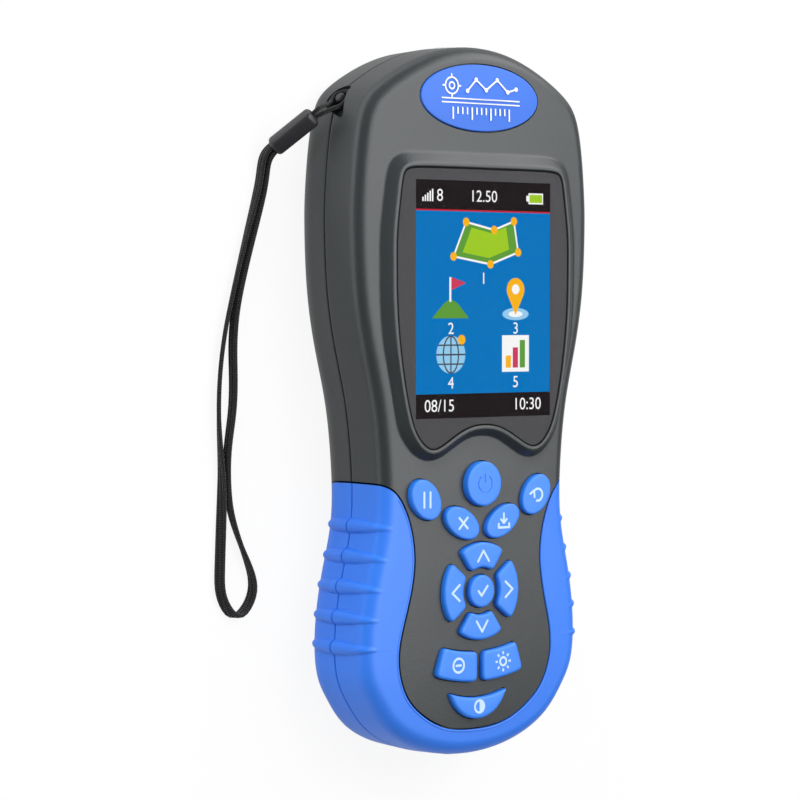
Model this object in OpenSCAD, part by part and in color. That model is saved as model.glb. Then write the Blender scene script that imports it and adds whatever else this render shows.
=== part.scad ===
// Handheld satellite land area meter, lying on its back.
// The frame has +Z out of the screen, +Y towards the top end and +X to the right of the screen.
// The origin is on the flat back, in the middle of the length.

/* [Housing] */
// Length of the case
body_len = 174.5; // [174:0.1:184]
// Width across the head
head_w = 75.6; // [74:0.2:84]
// Width across the waist
waist_w = 59; // [57:0.2:66]
// Width across the grip
grip_w = 69.6; // [66:0.2:78]
// From the top end to the top edge of the lens
head_end = 30; // [29.6:0.2:36]
// From the lowest points of the lens to the middle of the ring keys
pad_drop = 35.1; // [35:0.1:40]
// From the middle of the ring keys to the bottom end
chin = 41; // [40:0.1:45]
// Height of the front face over the back
face_z = 27.7; // [27.4:0.1:29]
// Height of the parting line over the back
seam_z = 14; // [12:0.2:16]
// Gap at the parting line
seam_gap = 0.2; // [0.1:0.05:0.4]
// Rounding of the front edge
front_r = 3.8; // [3:0.1:5]
// Rounding of the rear edge along the sides
rear_r = 9; // [7:0.5:10]
// Rounding of the rear edge at both ends
rear_end_r = 5; // [4:0.5:8]
// Draft of each half's side wall
draft = 0.3; // [0.1:0.1:0.6]
// Fall of the face from the middle to the edge of the head
face_crown = 1.2; // [0.6:0.1:2]
// Reach along the case over which the crown follows the waist
waist_reach = 28; // [20:1:36]
// Fall of the face at the top end
head_fall = 0.6; // [0:0.1:1.2]
// Fall of the face at the bottom end
chin_fall = 2; // [0.5:0.1:2.4]
// Side wall of the hard shell, with the grip skin over it
wall = 5.4; // [5:0.1:6]
// Front wall over the keypad and the boards
front_wall = 3.3; // [2.8:0.1:3.6]
// Back wall
back_wall = 2.6; // [2:0.1:3.5]

/* [Grip] */
// Skin of the soft grip on the sides
skin = 3.6; // [3:0.1:3.8]
// Hard wall left under the skin on the front and back
core_wall = 1.2; // [1:0.1:1.4]
// Fall from the face to the hard core under the skin
core_fall = 3.3; // [3:0.1:3.8]
// Groove between the grip and the shell
grip_gap = 0.15; // [0.1:0.05:0.3]
// Ribs on each side
rib_count = 5; // [3:1:6]
// Pitch of the ribs
rib_pitch = 7.3; // [6:0.1:8]
// Radius of a rib at the parting line
rib_r = 2; // [1.5:0.1:2.5]
// How far a rib stands out of the side
rib_out = 1.2; // [0.8:0.1:1.4]
// Length of a rib on each side of the parting line
rib_len = 13.4; // [11:0.1:14]

/* [Screen] */
// Width of the lens
lens_w = 55.8; // [54:0.2:58]
// Thickness of the lens
lens_t = 0.6; // [0.5:0.1:0.8]
// Height of the lens over the face
lens_rise = 1.75; // [1.6:0.05:2.2]
// How far the collar stands over the lens
collar_lip = 0.25; // [0.1:0.05:0.5]
// Width of the collar's slope
collar_w = 4; // [3.4:0.1:5]
// Gap round the lens
lens_gap = 0.15; // [0.1:0.05:0.3]
// Width of the display glass
glass_w = 45; // [44:0.2:46]
// From the top edge of the lens to the display glass
glass_head = 2; // [1.6:0.1:3]
// From the display glass to the lowest points of the lens
glass_foot = 6.4; // [6:0.1:8]
// Thickness of the display glass
glass_t = 2; // [1.6:0.1:2.4]
// Gap between display, lens and window
glass_gap = 0.2; // [0.1:0.05:0.3]
// Wall of the display holder
holder_wall = 1.8; // [1.2:0.1:2.2]

/* [Badge] */
// Length of the oval badge plate
badge_w = 37.4; // [32:0.2:40]
// Height of the oval badge plate
badge_h = 16.3; // [14:0.1:18]
// From the top end to the middle of the badge
badge_drop = 12.9; // [12.4:0.1:14]
// Thickness of the badge in its seat
badge_t = 1.2; // [0.8:0.1:1.4]
// Groove round the badge
badge_gap = 0.3; // [0.15:0.05:0.5]

/* [Keys] */
// How far a key stands over the face
key_rise = 1.4; // [1:0.1:2]
// Travel of a key
key_travel = 0.8; // [0.5:0.1:1]
// Gap between a key and its opening
key_gap = 0.25; // [0.15:0.05:0.35]
// Flange that holds a key under the front wall
key_flange = 0.35; // [0.3:0.05:0.6]
// Thickness of the flange
flange_t = 0.8; // [0.6:0.1:1]
// Rounding of a key's top edge
key_round = 0.7; // [0.4:0.05:0.8]
// Running gap over, under and below a key
run_gap = 0.1; // [0.05:0.05:0.2]
// Diameter of the power key
power_d = 11; // [9:0.2:11.4]
// From the ring keys' middle to the power key
power_y = 26.4; // [26:0.1:27]
// Across the pause and back keys
side_key = [11, 8.2]; // [7:0.1:11.6]
// Places of the pause and back keys from the ring keys' middle
side_key_at = [17.7, 23.1]; // [17:0.1:24]
// Tilt of the pause and back keys
side_key_tilt = 51; // [40:1:60]
// Across the delete and save keys
edit_key = [11.6, 7]; // [6:0.1:12]
// Places of the delete and save keys from the ring keys' middle
edit_key_at = [6.5, 17]; // [6:0.1:18]
// Tilt of the delete and save keys
edit_key_tilt = 29; // [20:1:38]
// Diameter of the enter key
enter_d = 8; // [7:0.1:8.4]
// Inner radius of the ring keys
ring_in = 5.9; // [5.8:0.1:6.4]
// Outer radius of the ring keys
ring_out = 12.1; // [11.4:0.1:12.4]
// Half angle of the left and right keys
ring_side_half = 38; // [34:0.5:39]
// Half angle of the up and down keys
ring_end_half = 35; // [32:0.5:36]
// Inner radius of the lower key row, about the power key
row_in = 41.3; // [41:0.1:41.8]
// Outer radius of the lower key row
row_out = 48.7; // [48.2:0.1:49.2]
// First and last angle of a key in the lower row
row_angle = [1.1, 16.6]; // [1:0.1:17]
// Radius of the bottom key's lower edge
moon_r = 9.5; // [9:0.1:9.8]
// Radius of the bottom key's upper edge
moon_top_r = 26; // [20:1:50]
// From the power key to the middle of the bottom key's upper edge
moon_drop = 52.7; // [52.4:0.1:53.4]
// Height of the bottom key at its middle
moon_h = 5.4; // [5:0.1:5.8]

/* [Inside] */
// Thickness of the main board
board_t = 1.6; // [1.2:0.1:2]
// Gap between the main board and the shell
board_gap = 0.6; // [0.3:0.1:1]
// Thickness of the key mat
mat_t = 0.8; // [0.6:0.1:1]
// Diameter of a dome switch
dome_d = 4; // [3.4:0.1:4.6]
// Height of a dome switch
dome_h = 0.35; // [0.25:0.05:0.4]
// Diameter of a key's plunger
plunger_d = 2.4; // [2:0.1:3]
// Side of the patch antenna
patch_side = 18; // [12:0.5:18]
// Thickness of the patch antenna
patch_t = 2; // [1.5:0.1:2.4]
// Receiver module length, width and height
module_size = [16, 12, 2.6]; // [2:0.1:18]
// Battery width, length under the lens as drawn, and thickness
battery_size = [36, 62, 8]; // [6:0.5:64]
// Wall of the battery cradle
cradle_wall = 1.5; // [1.2:0.1:2]
// Gap round the battery and other inner pieces
fit_gap = 0.3; // [0.2:0.05:0.4]
// Diameter of a case screw
screw_d = 2.5; // [2:0.1:3]
// Diameter of a case screw's head
screw_head_d = 4.6; // [4:0.1:5]
// Height of a case screw's head
screw_head_h = 1.8; // [1.4:0.1:2]
// Depth of the well over a screw head
screw_well = 2; // [1.5:0.1:2.2]
// Diameter of a screw boss
boss_d = 6.4; // [6:0.1:7]
// Gap round a screw
screw_gap = 0.1; // [0.05:0.05:0.15]

/* [Torch and charging port] */
// Diameter of the torch lens
torch_d = 8; // [7:0.1:9]
// Flange of the torch lens behind the wall
torch_flange = 1.2; // [0.8:0.1:1.5]
// How far the torch lens stands out of the top end
torch_out = 0.5; // [0.3:0.1:0.8]
// Gap round the torch lens and the port plug
port_gap = 0.15; // [0.1:0.05:0.25]
// Width of the charging port plug
port_w = 10.6; // [10:0.1:12]
// Height of the charging port plug
port_h = 4.4; // [4.2:0.1:5]
// How far the plug stands out of the bottom end
plug_out = -0.3; // [-0.5:0.1:0.5]
// Charging socket width, depth and height
socket_size = [7.6, 5.4, 2.7]; // [2.5:0.1:8]

/* [Strap] */
// Width of the strap notch along the shoulder
notch_w = 9.25; // [9:0.05:10]
// Height of the strap notch
notch_h = 8.45; // [8.2:0.05:9]
// Depth of the strap notch
notch_depth = 4.8; // [4.4:0.1:5.4]
// Diameter of the pin in the notch
pin_d = 1.8; // [1.4:0.1:1.9]
// Diameter of the pin's domed head
pin_head_d = 2.8; // [2.4:0.1:2.9]
// How far the pin reaches into the rear half
pin_seat = 1.5; // [1:0.1:2]
// Diameter of the thin cord
cord_d = 1.1; // [0.9:0.05:1.2]
// Width and thickness of the braid
braid = [2.4, 1.1]; // [0.9:0.1:2.6]
// Slider width, thickness and length
slider_size = [4.5, 3.8, 13]; // [3.6:0.1:14]

/* [Hidden] */
$fn = 64;

// Colours
GREY = [0.29, 0.3, 0.3];
BLUE = [0.2, 0.48, 0.92];
LENS_GREY = [0.31, 0.31, 0.31];
BLACK = [0.12, 0.12, 0.13];
STEEL = [0.75, 0.76, 0.78];
BOARD_GREEN = [0.1, 0.4, 0.25];
CERAMIC = [0.86, 0.8, 0.68];

// Lengthwise places, from the top end down
lens_len = body_len - head_end - pad_drop - chin;
// How far the lens is stretched from the length that the outlines are drawn for
drawn_lens = 68.4;
stretch = lens_len / drawn_lens;
y_top = body_len / 2;
y_bot = -body_len / 2;
lens_top = y_top - head_end;
lens_low = lens_top - lens_len;
ring_y = lens_low - pad_drop;
power_at = [0, ring_y + power_y];
glass_len = lens_len - glass_head - glass_foot;
glass_y = lens_top - glass_head - glass_len / 2;
battery_len = battery_size[1] * stretch;
badge_y = y_top - badge_drop;
head_hw = head_w / 2;
waist_hw = waist_w / 2;
grip_hw = grip_w / 2;
past = 60;
eps = 0.02;

// Heights, from the face down
lens_z = face_z + lens_rise;
seat_z = lens_z - lens_t;
glass_z = seat_z - glass_gap;
ceiling_z = face_z - front_wall;
core_top = face_z - core_fall - chin_fall / 2;
core_ceiling = core_top - core_wall;
flange_top = ceiling_z - run_gap;
flange_low = flange_top - flange_t;
mat_top = flange_low - key_travel - run_gap;
board_top = mat_top - mat_t;
board_low = board_top - board_t;
dome_top = board_top + dome_h;
plunger_low = dome_top + key_travel + run_gap;
front_low = seam_z + seam_gap / 2;
rear_high = seam_z - seam_gap / 2;
// The rear form is rounded from a little below the back, which cuts it flat
sunk = 0.25;
core_low = back_wall + 0.3;
core_floor = core_low + core_wall;

// A smooth closed curve: control points are found that carry it through each given point
function relax(c, p, n) = n == 0 ? c
  : let (m = len(p))
    relax([for (i = [0 : m - 1]) (6 * p[i] - c[(i + m - 1) % m] - c[(i + 1) % m]) / 4], p, n - 1);
function bspline(c, steps) = [
  for (i = [0 : len(c) - 1], s = [0 : steps - 1])
    let (
      m = len(c), t = s / steps,
      a = c[(i + m - 1) % m], b = c[i], d = c[(i + 1) % m], e = c[(i + 2) % m]
    )
      (a * pow(1 - t, 3) + b * (3 * t * t * t - 6 * t * t + 4)
        + d * (-3 * t * t * t + 3 * t * t + 3 * t + 1) + e * t * t * t) / 6
];
function smooth_loop(p, steps) = bspline(relax(p, p, 24), steps);
// The right half of an outline, from its top to its bottom, with its mirror image
function both_sides(h) = concat(h, [for (i = [len(h) - 2 : -1 : 1]) [-h[i][0], h[i][1]]]);
function unit(v) = v / norm(v);
// Outward direction at point i of a loop that runs clockwise, and the loop moved inwards by d
function out_of(p, i) = let (m = len(p), t = unit(p[(i + 1) % m] - p[(i + m - 1) % m])) [-t[1], t[0]];
function inset(p, d) = [for (i = [0 : len(p) - 1]) p[i] - d * out_of(p, i)];
function arc(c, r, a0, a1, n) = [
  for (i = [0 : n]) let (a = a0 + (a1 - a0) * i / n) c + r * [cos(a), sin(a)]
];

// Outline of the case at the parting line
case_half = [
  [0, y_top], [head_hw - 22.8, y_top - 2.1], [head_hw - 8.8, y_top - 9.6],
  [head_hw - 2.4, y_top - 18.5], [head_hw - 0.3, lens_top - 4], [head_hw, lens_top - 15 * stretch],
  [head_hw - 0.8, lens_top - 30 * stretch], [waist_hw + 5, lens_low + 24 * stretch],
  [waist_hw + 1.9, lens_low + 10.5 * stretch], [waist_hw + 0.2, lens_low - 4.5],
  [waist_hw + 0.3, ring_y + 17], [grip_hw - 2.4, ring_y + 5], [grip_hw - 0.3, ring_y - 7],
  [grip_hw - 0.4, ring_y - 18.5], [grip_hw - 3.8, y_bot + 14.7], [grip_hw - 10.2, y_bot + 7.2],
  [grip_hw - 21.4, y_bot + 1.8], [0, y_bot]
];
case_loop = smooth_loop(both_sides(case_half), 4);

// Edge of the dark part of the case, which leaves the grip outside
dark_half = [
  [0, y_top + 30], [60, y_top - 10], [62, ring_y + 60], [50, ring_y + 28.4], [40, ring_y + 27.4],
  [31, ring_y + 26.9], [26, ring_y + 24.5], [22.6, ring_y + 19.5], [20.6, ring_y + 12],
  [20.6, ring_y + 4.5], [22.3, ring_y - 3.5], [24.2, ring_y - 11], [24.3, ring_y - 18],
  [21.8, ring_y - 24.6], [17, ring_y - 29.4], [9.5, ring_y - 33.2], [0, ring_y - 34.3]
];
dark_loop = smooth_loop(both_sides(dark_half), 4);

// Outline of the lens, with its two low points
lens_hw = lens_w / 2;
lens_half = [
  [0, lens_top], [9, lens_top], [17.4, lens_top - 0.05], [23.6, lens_top - 0.5],
  [lens_hw - 1.9, lens_top - 2.9], [lens_hw - 1, lens_top - 8.6 * stretch],
  [lens_hw - 0.1, lens_top - 16.4 * stretch], [lens_hw, lens_top - 24.2 * stretch],
  [lens_hw - 0.25, lens_top - 34.6 * stretch], [lens_hw - 1.7, lens_low + 20.8 * stretch],
  [lens_hw - 3.9, lens_low + 10 * stretch], [lens_hw - 6.5, lens_low + 3.5], [lens_hw - 10.9, lens_low],
  [11.4, lens_low + 1.8], [5.6, lens_low + 4.7], [0, lens_low + 5.6]
];
lens_loop = smooth_loop(both_sides(lens_half), 3);

function fall(d, reach) = pow(max(0, d) / reach, 2);
// Half width that the crown of the face reaches over, less at the waist
function crown_hw(y) = head_hw - (head_hw - waist_hw) * exp(-pow((y - lens_low + 4) / waist_reach, 2));
// Height of the face, crowned across and falling to both ends
function face_at(p) = face_z - face_crown * pow(p[0] / crown_hw(p[1]), 2)
  - head_fall * fall(p[1] - lens_top, head_end) - chin_fall * fall(lens_low + 6 - p[1], pad_drop + chin);
function lift(loop, z) = [for (p = loop) [p[0], p[1], z]];
function on_face(loop, up) = [for (p = loop) [p[0], p[1], face_at(p) + up]];

// Faces between rings of n points each, from the first ring up
function bands(n, rings) = [
  for (k = [0 : rings - 2], i = [0 : n - 1], half = [0, 1])
    let (j = (i + 1) % n, a = k * n, b = a + n)
      half == 0 ? [a + i, b + j, b + i] : [a + i, a + j, b + j]
];
// A fan from a middle point over a ring
function fan(n, first, middle, up) = [
  for (i = [0 : n - 1])
    let (a = first + i, b = first + (i + 1) % n)
      up ? [middle, a, b] : [middle, b, a]
];
// Rungs across a ring that is its own mirror image, with cols strips in each
function rung(i, c, n, cols, first, spare) =
  i == 0 || i == n / 2 ? first + i
  : c == 0 ? first + i
  : c == cols ? first + n - i
  : spare + (i - 1) * (cols - 1) + c - 1;
function ladder(n, cols, first, spare, up) = [
  for (i = [0 : n / 2 - 1], c = [0 : cols - 1], half = [0, 1])
    let (
      a = rung(i, c, n, cols, first, spare), b = rung(i, c + 1, n, cols, first, spare),
      d = rung(i + 1, c, n, cols, first, spare), e = rung(i + 1, c + 1, n, cols, first, spare),
      t = half == 0 ? [a, d, e] : [a, e, b]
    )
      if (t[0] != t[1] && t[1] != t[2] && t[0] != t[2]) up ? t : [t[2], t[1], t[0]]
];

// Outer form of the front half: side wall, rounded edge and crowned face
module front_form() {
  n = len(case_loop);
  cols = 4;
  turns = [0 : 22.5 : 90];
  edge = [
    for (a = turns)
      on_face(inset(case_loop, draft + front_r * (1 - cos(a))), -front_r * (1 - sin(a)))
  ];
  rings = concat([lift(case_loop, front_low)], edge);
  last = rings[len(rings) - 1];
  middle = [
    for (i = [1 : n / 2 - 1], c = [1 : cols - 1])
      let (p = [last[i][0] * (1 - 2 * c / cols), last[i][1]]) [p[0], p[1], face_at(p)]
  ];
  points = concat([for (r = rings) each r], middle);
  top = (len(rings) - 1) * n;
  polyhedron(points, concat(
    bands(n, len(rings)), ladder(n, cols, top, top + n, true), ladder(n, 1, 0, 0, false)
  ));
}

// Outer form of the rear half, cut flat where it rests
module rear_form() {
  n = len(case_loop);
  edge = [
    for (a = [90 : -22.5 : 0])
      [
        for (i = [0 : n - 1])
          let (
            v = out_of(case_loop, i), r = rear_end_r + (rear_r - rear_end_r) * v[0] * v[0],
            p = case_loop[i] - (draft + r * (1 - cos(a))) * v
          )
            [p[0], p[1], r * (1 - sin(a)) - sunk]
      ]
  ];
  rings = concat(edge, [lift(case_loop, rear_high)]);
  top = (len(rings) - 1) * n;
  difference() {
    polyhedron([for (r = rings) each r], concat(
      bands(n, len(rings)), ladder(n, 1, top, 0, true), ladder(n, 1, 0, 0, false)
    ));
    translate([-past, y_bot - past, -past]) cube([2 * past, body_len + 2 * past, past]);
  }
}

// Raised collar that sweeps up from the face to the rim of the lens, by shares of its width and height
collar_profile = [[0.78, 0.1], [0.56, 0.32], [0.36, 0.6], [0.19, 0.87], [0.09, 1]];
module lens_collar() {
  n = len(lens_loop);
  rim = lens_z + collar_lip;
  slope = [
    for (s = collar_profile)
      [for (p = inset(lens_loop, -s[0] * collar_w)) [p[0], p[1], face_at(p) + s[1] * (rim - face_at(p))]]
  ];
  rings = concat(
    [lift(inset(lens_loop, -collar_w), ceiling_z + 1), on_face(inset(lens_loop, -collar_w), -0.25)], slope
  );
  top = (len(rings) - 1) * n;
  points = concat([for (r = rings) each r], [[0, glass_y, rim], [0, glass_y, ceiling_z + 1]]);
  polyhedron(points, concat(
    bands(n, len(rings)), fan(n, top, top + n, true), fan(n, 0, top + n + 1, false)
  ));
}

module prism(loop, z0, z1) {
  translate([0, 0, z0]) linear_extrude(z1 - z0) polygon(loop);
}

// Everything outside the dark part of the case
module grip_zone(gap) {
  translate([0, 0, -past]) linear_extrude(3 * past) difference() {
    translate([-past, y_bot - past]) square([2 * past, body_len + past]);
    polygon(inset(dark_loop, gap));
  }
}

// Places of the case screws
screw_right = [
  [head_hw - 12.3, y_top - 15.6], [waist_hw - 9, lens_low - 2.6], [grip_hw - 15.1, y_bot + 23.45]
];
screw_at = [for (s = [-1, 1], p = screw_right) [s * p[0], p[1]]];

// Strap notch in the left shoulder
notch_at = [-head_hw + 4.09, y_top - 13.81];
notch_z = seam_z - 0.52;
notch_turn = 54;
notch_out = 7;
notch_in = [sin(notch_turn), -cos(notch_turn)];
notch_up = [cos(notch_turn), sin(notch_turn)];
// Outline of the notch on the side wall, by shares of its width and height
notch_shape = [
  [0.495, 0.168], [0.5, -0.163], [0.365, -0.394], [0.149, -0.5], [-0.078, -0.471], [-0.294, -0.199],
  [-0.413, 0.133], [-0.499, 0.417], [-0.381, 0.499], [-0.056, 0.381], [0.268, 0.251]
];
notch_loop = smooth_loop([for (p = notch_shape) [p[0] * notch_w, p[1] * notch_h]], 3);
// Place of the pin along the shoulder and over the middle of the notch, and depth of its head
pin_at = [1.48, -0.88];
pin_head_drop = 1.3;
pin_dome = 0.9;

// Places things by their way along the shoulder, height and depth in the notch
module at_notch() {
  translate([notch_at[0], notch_at[1], notch_z]) rotate(notch_turn) rotate([90, 0, 0]) children();
}
function in_notch(p) = let (q = notch_at + p[0] * notch_up + p[1] * notch_in) [q[0], q[1], notch_z + p[2]];

module strap_notch() {
  at_notch() {
    translate([0, 0, -notch_out]) linear_extrude(notch_out + notch_depth) polygon(notch_loop);
    translate([pin_at[0], pin_at[1], notch_depth - eps])
      cylinder(d = pin_d + 2 * eps, h = pin_seat + 2 * eps);
  }
}

// Room inside the case at inset d, clear of the strap notch, and its part inside the grip's edge
edge_wall = 1.5;
module inner_plan(d) {
  difference() {
    polygon(inset(case_loop, d));
    translate(notch_at) circle(notch_depth + 4.4);
  }
}
module dark_plan(d) {
  intersection() {
    inner_plan(d);
    polygon(inset(dark_loop, edge_wall));
  }
}

// Hole for the torch through the top end
module torch_hole() {
  translate([0, y_top - wall - 3, seam_z]) rotate([-90, 0, 0])
    cylinder(d = torch_d + 2 * port_gap, h = wall + 6);
}

// Rounded bar along Y for the charging port and its plug
socket_z = board_low - socket_size[2] / 2;
module port_bar(w, h, y0, y1) {
  for (s = [-1, 1])
    translate([s * (w - h) / 2, y0, socket_z]) rotate([-90, 0, 0]) cylinder(d = h, h = y1 - y0);
  translate([-(w - h) / 2, y0, socket_z - h / 2]) cube([w - h, y1 - y0, h]);
}
module port_hole() {
  port_bar(port_w + 2 * port_gap, port_h + 2 * port_gap, y_bot - 3, y_bot + wall + 3);
}

// Key outlines, each a closed loop that runs clockwise
function oval(size, at, tilt) = [
  for (i = [0 : 31])
    let (a = -360 / 32 * i, x = size[0] / 2 * cos(a), y = size[1] / 2 * sin(a))
      at + [x * cos(tilt) - y * sin(tilt), x * sin(tilt) + y * cos(tilt)]
];
function spoke(c, r0, r1, a, n) = [for (i = [1 : n]) c + (r0 + (r1 - r0) * i / (n + 1)) * [cos(a), sin(a)]];
function sector(c, r0, r1, a0, a1, n0, n1) = bspline(concat(
  arc(c, r1, a1, a0, n1), spoke(c, r1, r0, a0, 2), arc(c, r0, a0, a1, n0), spoke(c, r0, r1, a1, 2)
), 2);
ring_at = [0, ring_y];
moon_low = [0, power_at[1] - moon_drop - moon_h + moon_r];
moon_high = [0, power_at[1] - moon_drop + moon_top_r];
moon_half = asin((moon_r - 0.3) / moon_top_r);
key_loops = [
  ["key_pause", oval(side_key, ring_at + [-side_key_at[0], side_key_at[1]], -side_key_tilt)],
  ["key_back", oval(side_key, ring_at + side_key_at, side_key_tilt)],
  ["key_delete", oval(edit_key, ring_at + [-edit_key_at[0], edit_key_at[1]], -edit_key_tilt)],
  ["key_save", oval(edit_key, ring_at + edit_key_at, edit_key_tilt)],
  ["key_up", sector(ring_at, ring_in, ring_out, 90 - ring_end_half, 90 + ring_end_half, 4, 7)],
  ["key_down", sector(ring_at, ring_in, ring_out, 270 - ring_end_half, 270 + ring_end_half, 4, 7)],
  ["key_left", sector(ring_at, ring_in, ring_out, 180 - ring_side_half, 180 + ring_side_half, 4, 7)],
  ["key_right", sector(ring_at, ring_in, ring_out, -ring_side_half, ring_side_half, 4, 7)],
  ["key_cash", sector(power_at, row_in, row_out, 270 - row_angle[1], 270 - row_angle[0], 6, 6)],
  ["key_light", sector(power_at, row_in, row_out, 270 + row_angle[0], 270 + row_angle[1], 6, 6)],
  ["key_backlit", bspline(concat(
    arc(moon_low, moon_r, -18, -162, 8),
    arc(moon_high, moon_top_r, 270 - moon_half, 270 + moon_half, 6)
  ), 2)]
];
function loop_of(name) = [for (k = key_loops) if (k[0] == name) k[1]][0];
function middle_of(loop) = [
  (max([for (p = loop) p[0]]) + min([for (p = loop) p[0]])) / 2,
  (max([for (p = loop) p[1]]) + min([for (p = loop) p[1]])) / 2
];
key_middles = concat([for (k = key_loops) middle_of(k[1])], [power_at, ring_at]);
round_keys = [[power_at, power_d], [ring_at, enter_d]];

module key_openings() {
  for (k = key_loops) {
    prism(inset(k[1], -key_gap), ceiling_z - 1, face_z + 2);
    prism(inset(k[1], -key_gap - key_flange - 2 * run_gap), core_ceiling - 1, ceiling_z);
  }
  for (k = round_keys)
    translate([k[0][0], k[0][1], ceiling_z - 1])
      cylinder(d = k[1] + 2 * key_gap, h = face_z + 3 - ceiling_z);
}

module badge_plan(grow) {
  polygon(oval([badge_w + 2 * grow, badge_h + 2 * grow], [0, badge_y], 0));
}
badge_low = face_z - head_fall - face_crown * pow(badge_w / head_w, 2) - badge_t + 0.5;

module front_shell() color(GREY) {
  difference() {
    union() {
      difference() {
        front_form();
        grip_zone(grip_gap);
      }
      lens_collar();
      prism(inset(case_loop, skin), front_low, core_top);
    }
    difference() {
      union() {
        translate([0, 0, front_low - 1]) linear_extrude(core_ceiling - front_low + 1) inner_plan(wall);
        translate([0, 0, front_low]) linear_extrude(ceiling_z - front_low) dark_plan(wall);
      }
      for (p = screw_at)
        translate([p[0], p[1], front_low - 2]) cylinder(d = boss_d, h = face_z - front_low);
    }
    prism(lens_loop, seat_z, lens_z + 3);
    translate([-glass_w / 2 - glass_gap, glass_y - glass_len / 2 - glass_gap, ceiling_z - 2])
      cube([glass_w + 2 * glass_gap, glass_len + 2 * glass_gap, lens_z]);
    translate([0, 0, badge_low]) linear_extrude(past) badge_plan(badge_gap);
    key_openings();
    for (p = screw_at)
      translate([p[0], p[1], front_low - 1]) cylinder(d = screw_d + 2 * screw_gap, h = 9);
    strap_notch();
    torch_hole();
    port_hole();
  }
}

module rear_shell() color(GREY) {
  difference() {
    union() {
      difference() {
        rear_form();
        grip_zone(grip_gap);
      }
      prism(inset(case_loop, skin), core_low, rear_high);
    }
    difference() {
      union() {
        translate([0, 0, core_floor]) linear_extrude(seam_z) inner_plan(wall);
        translate([0, 0, back_wall]) linear_extrude(seam_z) dark_plan(wall);
      }
      for (p = screw_at)
        translate([p[0], p[1], 0]) cylinder(d = boss_d, h = rear_high);
      battery_cradle();
    }
    for (p = screw_at) translate([p[0], p[1], -1]) {
      cylinder(d = screw_d + 2 * screw_gap, h = seam_z + 2);
      cylinder(d = screw_head_d + 2 * screw_gap, h = 1 + screw_well + screw_head_h);
    }
    strap_notch();
    torch_hole();
  }
}

// Low frame on the back wall that keeps the battery in place
module battery_cradle() {
  outer = [battery_size[0], battery_len] + 2 * (fit_gap + cradle_wall) * [1, 1];
  inner = [battery_size[0], battery_len] + 2 * fit_gap * [1, 1];
  translate([0, battery_y, back_wall - 1]) linear_extrude(1 + battery_size[2] * 0.6) difference() {
    square(outer, center = true);
    square(inner, center = true);
    square([outer[0] + 1, inner[1] * 0.6], center = true);
  }
}

// Half width of the case at a place along its length
width_table = [for (i = [len(case_loop) / 2 : -1 : 0]) [case_loop[i][1], case_loop[i][0]]];
function half_width(y) = lookup(y, width_table);

first_rib = ring_y + 16.7;
// Tapered rib that follows the side wall and the rounded edge to a point
// front is 1 on the front half and -1 on the rear half, side is 1 on the right
rib_steps = 5;
rib_sides = 8;
function rib_place(t, y, front) =
  let (
    r = front > 0 ? front_r : rear_r,
    start = front > 0 ? front_low : rear_high,
    edge = front > 0 ? face_at([half_width(y) - draft, y]) - front_r : rear_r - sunk,
    straight = abs(edge - start),
    s = t * rib_len,
    a = max(0, s - straight) / r * 180 / PI
  )
    [
      half_width(y) - draft * min(1, s / straight) - r * (1 - cos(a)),
      s < straight ? start + front * s : edge + front * r * sin(a),
      a
    ];
function rib_ring(t, y, front, side) =
  let (
    c = rib_place(t, y, front), r = rib_r * sqrt(1 - t * t) * (1 - 0.35 * t) + 0.02,
    out = rib_out * (1 - t * t), n = [side * cos(c[2]), front * sin(c[2])], k = out - r
  )
    [
      for (i = [0 : rib_sides - 1])
        let (b = 360 * i / rib_sides, u = k + r * cos(b))
          [side * c[0] + u * n[0], y + side * front * r * sin(b), c[1] + u * n[1]]
    ];
module rib(y, front, side) {
  rings = [for (i = [0 : rib_steps]) rib_ring(i / rib_steps, y, front, side)];
  n = rib_sides;
  last = len(rings) * n;
  points = concat(
    [for (r = rings) each r],
    [(rings[0][0] + rings[0][n / 2]) / 2, (rings[rib_steps][0] + rings[rib_steps][n / 2]) / 2]
  );
  polyhedron(points, concat(
    [for (f = bands(n, len(rings))) [f[2], f[1], f[0]]],
    fan(n, 0, last, true), fan(n, last - n, last + 1, false)
  ));
}
module ribs(front) {
  for (i = [0 : rib_count - 1], side = [-1, 1]) rib(first_rib - rib_pitch * i, front, side);
}

bond = 0.05;
module grip_front() color(BLUE) {
  difference() {
    union() {
      intersection() {
        front_form();
        grip_zone(0);
      }
      ribs(1);
    }
    prism(inset(case_loop, skin - bond), front_low - 1, core_top + bond);
    port_hole();
  }
}

module grip_rear() color(BLUE) {
  difference() {
    union() {
      intersection() {
        rear_form();
        grip_zone(0);
      }
      ribs(-1);
    }
    prism(inset(case_loop, skin - bond), core_low - bond, rear_high + 1);
  }
}

// Badge plate that follows the face
module badge_plate() color(BLUE) {
  plan = oval([badge_w, badge_h], [0, badge_y], 0);
  small = oval([badge_w - 1, badge_h - 1], [0, badge_y], 0);
  inner = oval([badge_w / 2, badge_h / 2], [0, badge_y], 0);
  n = len(plan);
  rings = [lift(plan, badge_low), on_face(plan, 0), on_face(small, 0.3), on_face(inner, 0.35)];
  top = 3 * n;
  polyhedron(
    concat([for (r = rings) each r], [[0, badge_y, face_at([0, badge_y]) + 0.36], [0, badge_y, badge_low]]),
    concat(bands(n, 4), fan(n, top, top + n, true), fan(n, 0, top + n + 1, false))
  );
}

module screen_lens() color(LENS_GREY) prism(inset(lens_loop, lens_gap), seat_z, lens_z);

module display_glass() color([0.05, 0.35, 0.65]) {
  translate([-glass_w / 2, glass_y - glass_len / 2, glass_z - glass_t]) cube([glass_w, glass_len, glass_t]);
}

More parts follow.
